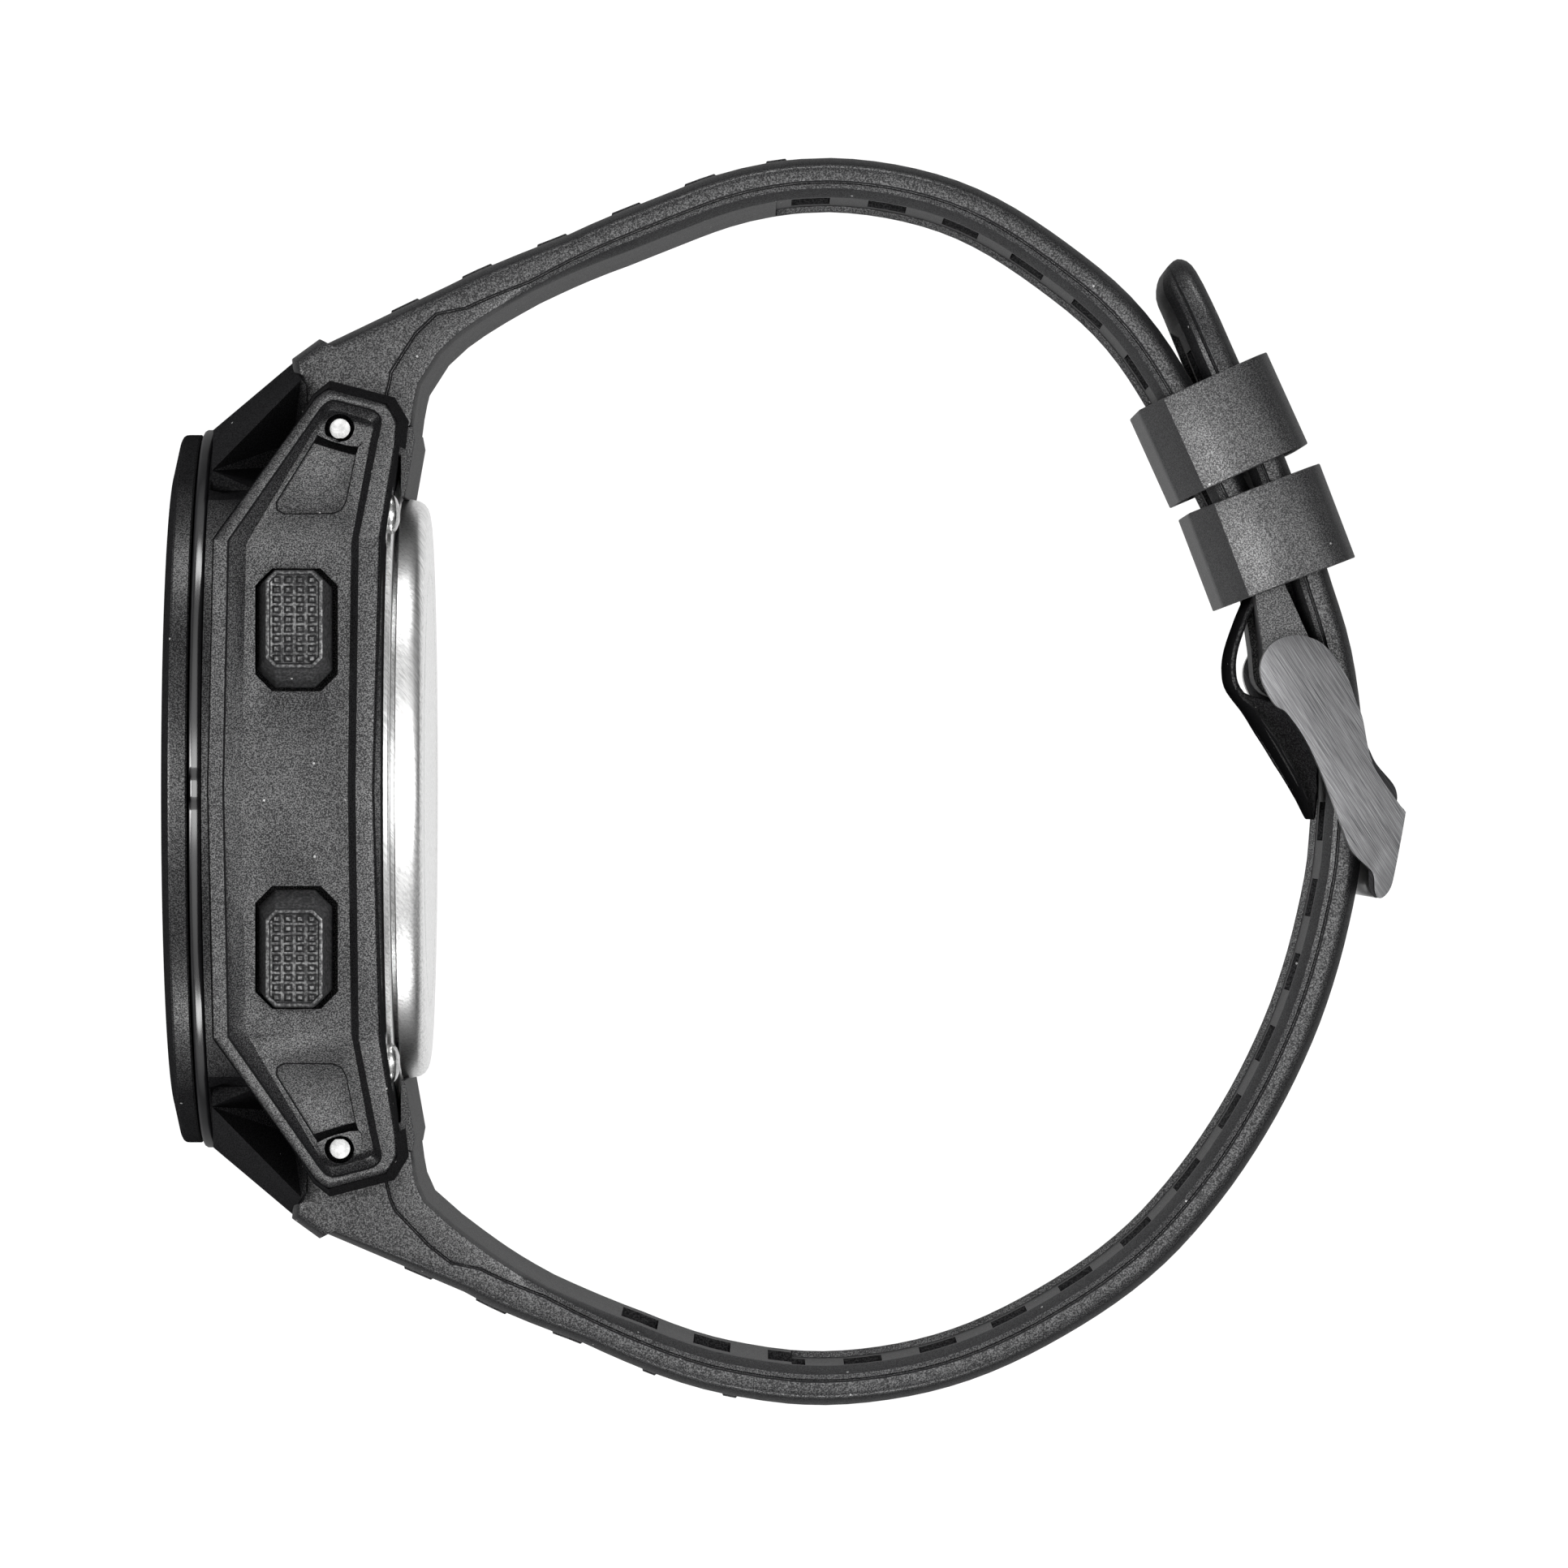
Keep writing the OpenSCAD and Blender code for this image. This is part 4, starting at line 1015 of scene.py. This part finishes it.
def buildGuardCap():
    # rim, sloped inner walls and floor of a side guard, from 12 to 6 o'clock
    bm = bmesh.new()
    outside, rim, floorEdge = [guardLoop(guard[k]) for k in ("outside", "rim", "floorEdge")]
    proud = movedLoop(outside, guard["proud"])
    layers = [(proud, lambda y: guardSkin(y) - guard["skirt"]),
        (proud, lambda y: guardSkin(y) - guard["edge"]),
        (movedLoop(outside, -guard["edge"]), guardSkin),
        (movedLoop(rim, guard["draft"]), guardSkin),
        (rim, lambda y: guardSkin(y) - guard["drop"]),
        (floorEdge, guardFloor)]
    loops = [layLoop(bm, *layer) for layer in layers]
    for a, b in zip(loops, loops[1:]):
        bmesh.ops.bridge_loops(bm, edges=a + b)
    holes = []
    for end in (-1, 1):
        x, y = guard["pocketSpot"]
        pocket = [(x + a, (y + b) * end) for a, b in cutCornerOutline(*guard["pocket"])]
        bore = [(p.x, p.y * end) for p in arc(Vector(barSpot), guard["bore"], 0, 345, 23)]
        recess = [(a, b * end) for a, b in guard["recess"]]
        holes.append([layLoop(bm, points) for points in (pocket, bore, recess)])
    edges = layLoop(bm, floorEdge) + [e for end in holes for hole in end for e in hole]
    faces = pick(bmesh.ops.triangle_fill(bm, use_beauty=True, normal=(0, 0, 1),
        edges=edges)["geom"], "Face")
    geom = faces + [*{e for f in faces for e in f.edges}, *{v for f in faces for v in f.verts}]
    for side in (-1, 1):
        geom = bmesh.ops.bisect_plane(bm, geom=geom, plane_co=(0, side * guard["floorFlat"], 0),
            plane_no=(0, 1, 0), dist=0.0001)["geom"]
    for vert in pick(geom):
        vert.co.z = guardFloor(vert.co.y)
    for pocket, bore, recess in holes:
        for vert in deepen(bm, pocket):
            vert.co.z = guard["pocketFloor"]
        for vert in deepen(bm, bore):
            vert.co.z -= guard["boreDepth"]
        sinkRecess(bm, deepen(bm, recess))
    cleanMesh(bm, 0.001, 0.3)
    turnOut(bm)
    if max(bm.faces, key=lambda f: f.calc_area()).normal.z < 0:
        bmesh.ops.reverse_faces(bm, faces=bm.faces[:])
    softenEdges(bm, 0.05, angle=40, segments=2, test=lambda e: e.verts[0].co.x > -9.9)
    return bm


def openGuards(bm):
    # takes the guards' tops off the case, where the caps go
    loop = movedLoop(guardLoop(guard["outside"]), -guard["cut"])
    gone = [f for f in bm.faces if min(abs(v.co.z) for v in f.verts) > guard["topsAbove"]
        and insideLoop(*f.calc_center_median().xy, loop)]
    bmesh.ops.delete(bm, geom=gone, context="FACES")


def sinkHoodSides(bm):
    # beside a guard, the hood's side falls away from its crease line
    flats = [f for f in bm.faces if abs(abs(f.calc_center_median().z) - hood["z"]) < 0.02
        and abs(f.normal.z) > 0.99 and abs(f.calc_center_median().y) > hood["from"]]
    low, high = hood["walls"]
    walls = [e for f in flats for e in f.edges if all(low < v.co.x < high for v in e.verts)
        and e.calc_length() > 4]
    bmesh.ops.subdivide_edges(bm, edges=walls, cuts=2)
    for vert in {v for f in flats for v in f.verts}:
        x, y = vert.co.x, abs(vert.co.y)
        if abs(y - hood["creaseY"]) < 0.06 and x < hood["creaseX"]:
            vert.co.z = math.copysign(hood["corner"], vert.co.z)
        elif low + 0.1 < x < high - 0.05 and y < hood["reach"]:
            row = min(3, max(0, round((x - hood["row"][0]) / hood["row"][1])))
            vert.co.z = math.copysign(hood["valley"][row], vert.co.z)
    bmesh.ops.triangulate(bm, faces=flats)
    bm.normal_update()
    # the flats beside the bezel take the darker resin: painted shade
    low, high = hood["flatZ"]
    for face in bm.faces:
        x, y, z = face.calc_center_median()
        if x < hood["flatX"] and low < abs(z) < high and abs(y) < hood["flatY"] \
                and abs(face.normal.z) > 0.3:
            face.material_index = 1


def addGuardFoot(bm, end, side):
    # round its outer end a guard widens towards its foot
    foot = guard["foot"]
    verts = prism(bm, [(x, y * end) for x, y in foot], guard["footZ"], guard["footZ"] + 1)
    for vert in verts[len(foot):]:
        x, y = guard["end"][nearestPoint(foot, vert.co.x, abs(vert.co.y))]
        vert.co = (x, y * end, guardSkin(y) - guard["footSink"])
    # only the walls round the end stay
    gone = {f for v in verts for f in v.link_faces if len(f.verts) > 4
        or max(w.co.x for w in f.verts) - min(w.co.x for w in f.verts) > 5}
    bmesh.ops.delete(bm, geom=list(gone), context="FACES_ONLY")
    for vert in verts:
        vert.co.z *= side


def addBarTab(bm, end, side):
    # the raised tab round a spring bar's tip
    outline = smoothOutline(guard["tab"], steps=4)
    centre = Vector((barSpot[0], barSpot[1] + 0.05))
    hole = [centre + guard["tabHole"] * (p - centre).normalized() for p in outline]
    loops = [layLoop(bm, [(p.x, p.y * end) for p in ring],
        lambda y: (guardFloor(y) - 0.05) * side) for ring in (outline, hole)]
    addPlate(bm, loops, (0, 0, (guard["tabRise"] + 0.05) * side))


def isOuter(edge):
    middle = (edge.verts[0].co + edge.verts[1].co) / 2
    return abs(middle.z) > 11.5 and middle.x < -1.2 and middle.xy.length > 9


def buildCaseBody():
    bm = copyNode("case_body")
    openGuards(bm)
    sinkHoodSides(bm)
    softenEdges(bm, 0.09, angle=28, segments=2, test=isOuter)
    feet = bmesh.new()
    for end in (-1, 1):
        for side in (-1, 1):
            addGuardFoot(feet, end, side)
            addBarTab(feet, end, side)
    turnOut(feet)
    near = buildGuardCap()
    far = near.copy()
    bmesh.ops.scale(far, vec=(1, 1, -1), verts=far.verts[:])
    bmesh.ops.reverse_faces(far, faces=far.faces[:])
    joinMeshes(bm, [feet, near, far])
    finishPiece("caseBody", bm, resin, "watch", ["case_body"], smooth=25,
        turned=False, second=paintedShadeResin)


bezelRing = {
    "front": -15.3,
    "profile": [(0, 17.45), (0, 19.3), (0.05, 19.5), (0.42, 21.15), (0.5, 21.3), (0.62, 21.38),
        (0.8, 21.4), (1.5, 21.4), (1.6, 21.3), (1.6, 17.45)],
}


def buildBezel():
    bm = spunProfile(bezelRing["profile"], x=bezelRing["front"])
    finishPiece("bezelRing", bm, resin, "watch", ["bezel"], smooth=20)


ring = {
    "front": -13.57, "notch": 0.9, "notchDepth": 0.35,
    "profile": [(0, 18.95), (0, 21.5), (0.06, 21.62), (0.2, 21.7), (0.56, 21.7), (0.68, 21.62),
        (0.74, 21.5), (0.74, 18.95)],
}


def buildTrimRing():
    bm = spunProfile(ring["profile"], steps=384, x=ring["front"])
    for vert in bm.verts:
        if abs(vert.co.y) < ring["notch"] and vert.co.yz.length > 21:
            vert.co.z -= math.copysign(ring["notchDepth"], vert.co.z)
    finishPiece("trimRing", bm, glossTrim, "watch", ["trim_ring"], smooth=50)


back = {
    "profile": [(-2.3, 15.2), (-2.3, 19.35), (-2.22, 19.5), (-1.98, 19.5), (-1.9, 19.4),
        (-1.9, 16.3), (-1.66, 16.3), (-1.64, 17.42), (-1.58, 17.54), (-1.1, 17.5), (-0.6, 17.38),
        (-0.32, 17.2), (-0.14, 16.95), (-0.05, 16.7), (0, 16.4), (0, 13.3),
        (-0.1, 13.2), (-0.1, 13.0), (0, 12.9), (0, 0), (-0.8, 0), (-0.8, 14.7), (-2.3, 14.7)],
    "screwReach": 20.91, "screwTurn": 38.8, "earRadius": 1.8, "ear": (-3.0, -2.2),
    "shank": (0.6, -4.5, -2.1),
    "dome": [(-2.2, 1.15), (-1.95, 1.2), (-1.75, 1.12), (-1.6, 0.92), (-1.48, 0.6), (-1.44, 0.45),
        (-1.44, 0.0), (-2.2, 0.0)],
}


def screwPlaces():
    turn = math.radians(back["screwTurn"])
    across, up = math.sin(turn), math.cos(turn)
    return [back["screwReach"] * Vector((0, end * up, side * across))
        for end in (-1, 1) for side in (-1, 1)]


def addDrum(bm, spot, radius, low, high, segments=48):
    # a cylinder along X
    place = Matrix.Translation((spot.x + (low + high) / 2, spot.y, spot.z))
    addRod(bm, radius, high - low, place @ Matrix.Rotation(math.radians(90), 4, "Y"), segments)


def buildCaseBack():
    bm = spunProfile(back["profile"])
    for spot in screwPlaces():
        addDrum(bm, spot, back["earRadius"], *back["ear"])
    finishPiece("caseBack", bm, brushedSteel, "watch", ["case_back"], smooth=40)


def buildScrews():
    bm = bmesh.new()
    for spot in screwPlaces():
        head = spunProfile(back["dome"], steps=48)
        bmesh.ops.translate(head, verts=head.verts[:], vec=spot)
        joinMeshes(bm, [head])
        addDrum(bm, spot, *back["shank"], segments=24)
    finishPiece("backScrews", bm, polishedSteel, "watch", ["case_back_screws"],
        smooth=50)


bar = {"tip": 0.6, "tipEnd": 15.4, "tube": 0.75, "tubeEnd": 10.85, "round": 0.2}


def buildSpringBar(name, end, node):
    bm = bmesh.new()
    spot = Matrix.Translation((barSpot[0], barSpot[1] * end, 0))
    for radius, reach in ((bar["tip"], bar["tipEnd"]), (bar["tube"], bar["tubeEnd"])):
        addRod(bm, radius, 2 * reach, spot)
    softenEdges(bm, bar["round"], angle=60, segments=3)
    finishPiece(name, bm, barSteel, "watch", [node], smooth=40)


buildTrimRing()
buildCaseBack()
buildScrews()
buildSpringBar("springBarHead", 1, "spring_bar_12h")
buildSpringBar("springBarFoot", -1, "spring_bar_6h")
buildBezel()


# Push buttons

button = {
    "x": -7.3, "y": 9.6, "base": 20.9, "top": 23.3,
    # width, length, cut corner and shift
    "skirt": (4.35, 6.85, 1.0, -0.25), "pad": (3.45, 5.8, 0.6, 0.32), "padDepth": 0.28,
    "skirtHeight": 0.75, "padRise": 0.3, "rim": 0.22, "stem": (0.8, 7.4, 3.55),
    "studs": (4, 9), "pitch": (0.69, 0.575), "studHeight": 0.26,
    "studScale": (0.5 / 0.42, 0.44 / 0.42),
}


def cutCornerOutline(width, length, corner, shift=0.0):
    x, y = width / 2, length / 2
    points = [(-x, corner - y), (-x, y - corner), (corner - x, y), (x - corner, y),
        (x, y - corner), (x, corner - y), (x - corner, -y), (corner - x, -y)]
    return [(a, b + shift) for a, b in points]


def addStuds(bm):
    (across, along), (wide, long), high = button["studs"], button["pitch"], button["studHeight"]
    form = Matrix.Diagonal((*button["studScale"], 1, 1)) @ Matrix.Rotation(math.pi / 4, 4, "Z")
    for i in range(across):
        for k in range(along):
            spot = ((i - (across - 1) / 2) * wide,
                (k - (along - 1) / 2) * long + button["pad"][-1],
                button["top"] - button["padDepth"] + high / 2)
            bmesh.ops.create_cone(bm, cap_ends=True, segments=4, radius1=0.3, radius2=0.14,
                depth=high, matrix=Matrix.Translation(spot) @ form)


def buildButton(name, side, end, node):
    # drawn with +Z out of the case and +Y away from the middle
    bm = bmesh.new()
    base, top = button["base"], button["top"]
    # the skirt slopes up to the pad, most of all on the side of the middle
    skirt, pad = cutCornerOutline(*button["skirt"]), cutCornerOutline(*button["pad"])
    prism(bm, skirt, base, base + button["skirtHeight"])
    turnOut(bm)
    crown = max(bm.faces, key=lambda f: f.calc_center_median().z)
    bmesh.ops.inset_region(bm, faces=[crown], thickness=0.05, depth=0.0)
    for vert in crown.verts:
        x, y = pad[nearestPoint(skirt, vert.co.x, vert.co.y)]
        vert.co = (x, y, top - button["padRise"])
    for thickness, depth in ((0.06, button["padRise"]), (button["rim"], 0.0),
            (0.07, -button["padDepth"])):
        bmesh.ops.inset_region(bm, faces=[crown], thickness=thickness, depth=depth)
    low = [f for f in bm.faces if f.calc_center_median().z < base + 0.01]
    bmesh.ops.delete(bm, geom=low, context="FACES")
    softenEdges(bm, 0.07, angle=20, segments=2)
    addStuds(bm)
    radius, length, drop = button["stem"]
    addRod(bm, radius, length, Matrix.Translation((0, 0, base - drop)), segments=32)
    bmesh.ops.scale(bm, vec=(1, end, side), verts=bm.verts[:])
    bmesh.ops.translate(bm, verts=bm.verts[:], vec=(button["x"], end * button["y"], 0))
    finishPiece(name, bm, buttonResin, node, [node], smooth=25)


buildCaseBody()
for word, side, end in (("start", 1, 1), ("reset", 1, -1), ("light", -1, 1), ("mode", -1, -1)):
    buildButton(word + "Push", side, end, word + "_button")
print("head and buttons ready")


# Display and dial marks

face = {
    "digits": "1008", "size": (4.4, 7.6), "stroke": 0.95, "pitch": 5.7, "rows": (4.9, -4.9),
    "ink": 0.03, "squeeze": (0.9, 0.92),
    "marks": 12, "markRadius": 14.6, "mark": (0.7, 1.7),
    # which of the seven strokes each number shows: top, upper left, upper right, middle, ...
    "shapes": {"0": "1110111", "1": "0010010", "8": "1111111"},
}


def addInk(bm, front, across, up, size, turn=0.0):
    # a thin printed block; across is along Z and up is along Y
    form = Matrix.Rotation(turn, 4, "X") @ Matrix.Diagonal((face["ink"], size[1], size[0], 1))
    bmesh.ops.create_cube(bm, size=1.0, matrix=Matrix.Translation((front, up, across)) @ form)


def frontOf(node):
    return min(corner[0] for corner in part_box(node)) / mm


def buildDigits():
    bm = bmesh.new()
    front = frontOf("lcd_panel")
    width, height = face["size"]
    stroke, (narrow, low) = face["stroke"], face["squeeze"]
    flat, upright = (width - stroke, stroke), (stroke, height / 2 - stroke)
    strokes = [(0, 2, flat), (-1, 1, upright), (1, 1, upright), (0, 0, flat),
        (-1, -1, upright), (1, -1, upright), (0, -2, flat)]
    for i, number in enumerate(face["digits"]):
        middle = (i % 2 - 0.5) * face["pitch"]
        up = face["rows"][i // 2]
        for shown, (x, y, size) in zip(face["shapes"][number], strokes):
            if shown == "1":
                addInk(bm, front, middle + x * width / 2 * narrow, up + y * height / 4 * low,
                    size)
    finishPiece("lcdDigits", bm, lcdInk, "watch")


def buildMarks():
    bm = bmesh.new()
    front, reach = frontOf("dial_mask"), face["markRadius"]
    for k in range(face["marks"]):
        turn = 2 * math.pi * k / face["marks"]
        addInk(bm, front, reach * math.sin(turn), reach * math.cos(turn), face["mark"], turn)
    finishPiece("dialMarks", bm, paleInk, "watch")


buildDigits()
buildMarks()


# What stays as CAD gets its finish

finishes = (
    (makePlain("lensGlass", (0.97, 0.98, 0.98), 0.03, clear=1.0, ior=1.5, variation=0.01),
        ["lens"]),
    (makePlain("blackRubber", (0.014, 0.014, 0.014), 0.7),
        ["lens_gasket", "back_gasket", "button_seals"]),
    (makePlain("dialPrint", (0.016, 0.016, 0.018), 0.5), ["dial_mask"]),
    (makePlain("lcdGlass", (0.36, 0.4, 0.31), 0.25), ["lcd_panel"]),
    (makePlain("glowPanel", (0.6, 0.75, 0.68), 0.4), ["backlight_panel"]),
    (makePlain("contactRubber", (0.6, 0.24, 0.3), 0.7), ["contact_strips"]),
    (makePlain("modulePlastic", (0.08, 0.08, 0.085), 0.5), ["module_frame"]),
    (makePlain("boardGreen", (0.02, 0.16, 0.06), 0.4), ["circuit_board"]),
    (makePlain("chipBlack", (0.015, 0.015, 0.015), 0.45), ["main_chip"]),
    (polishedSteel, ["quartz_can", "battery", "buckle_bar"]),
    (makePlain("contactBrass", (0.72, 0.55, 0.26), 0.3, metal=1.0),
        ["battery_clip", "piezo_buzzer"]),
    (makePlain("springSteel", (0.7, 0.7, 0.7), 0.25, metal=1.0),
        [word + part for word in ("start", "reset", "light", "mode")
        for part in ("_clip", "_spring")]),
)
for material, names in finishes:
    for name in names:
        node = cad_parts[name]
        for slot in node.material_slots:
            slot.material = material
        if not node.material_slots:
            node.data.materials.append(material)
print("CAD nodes finished")
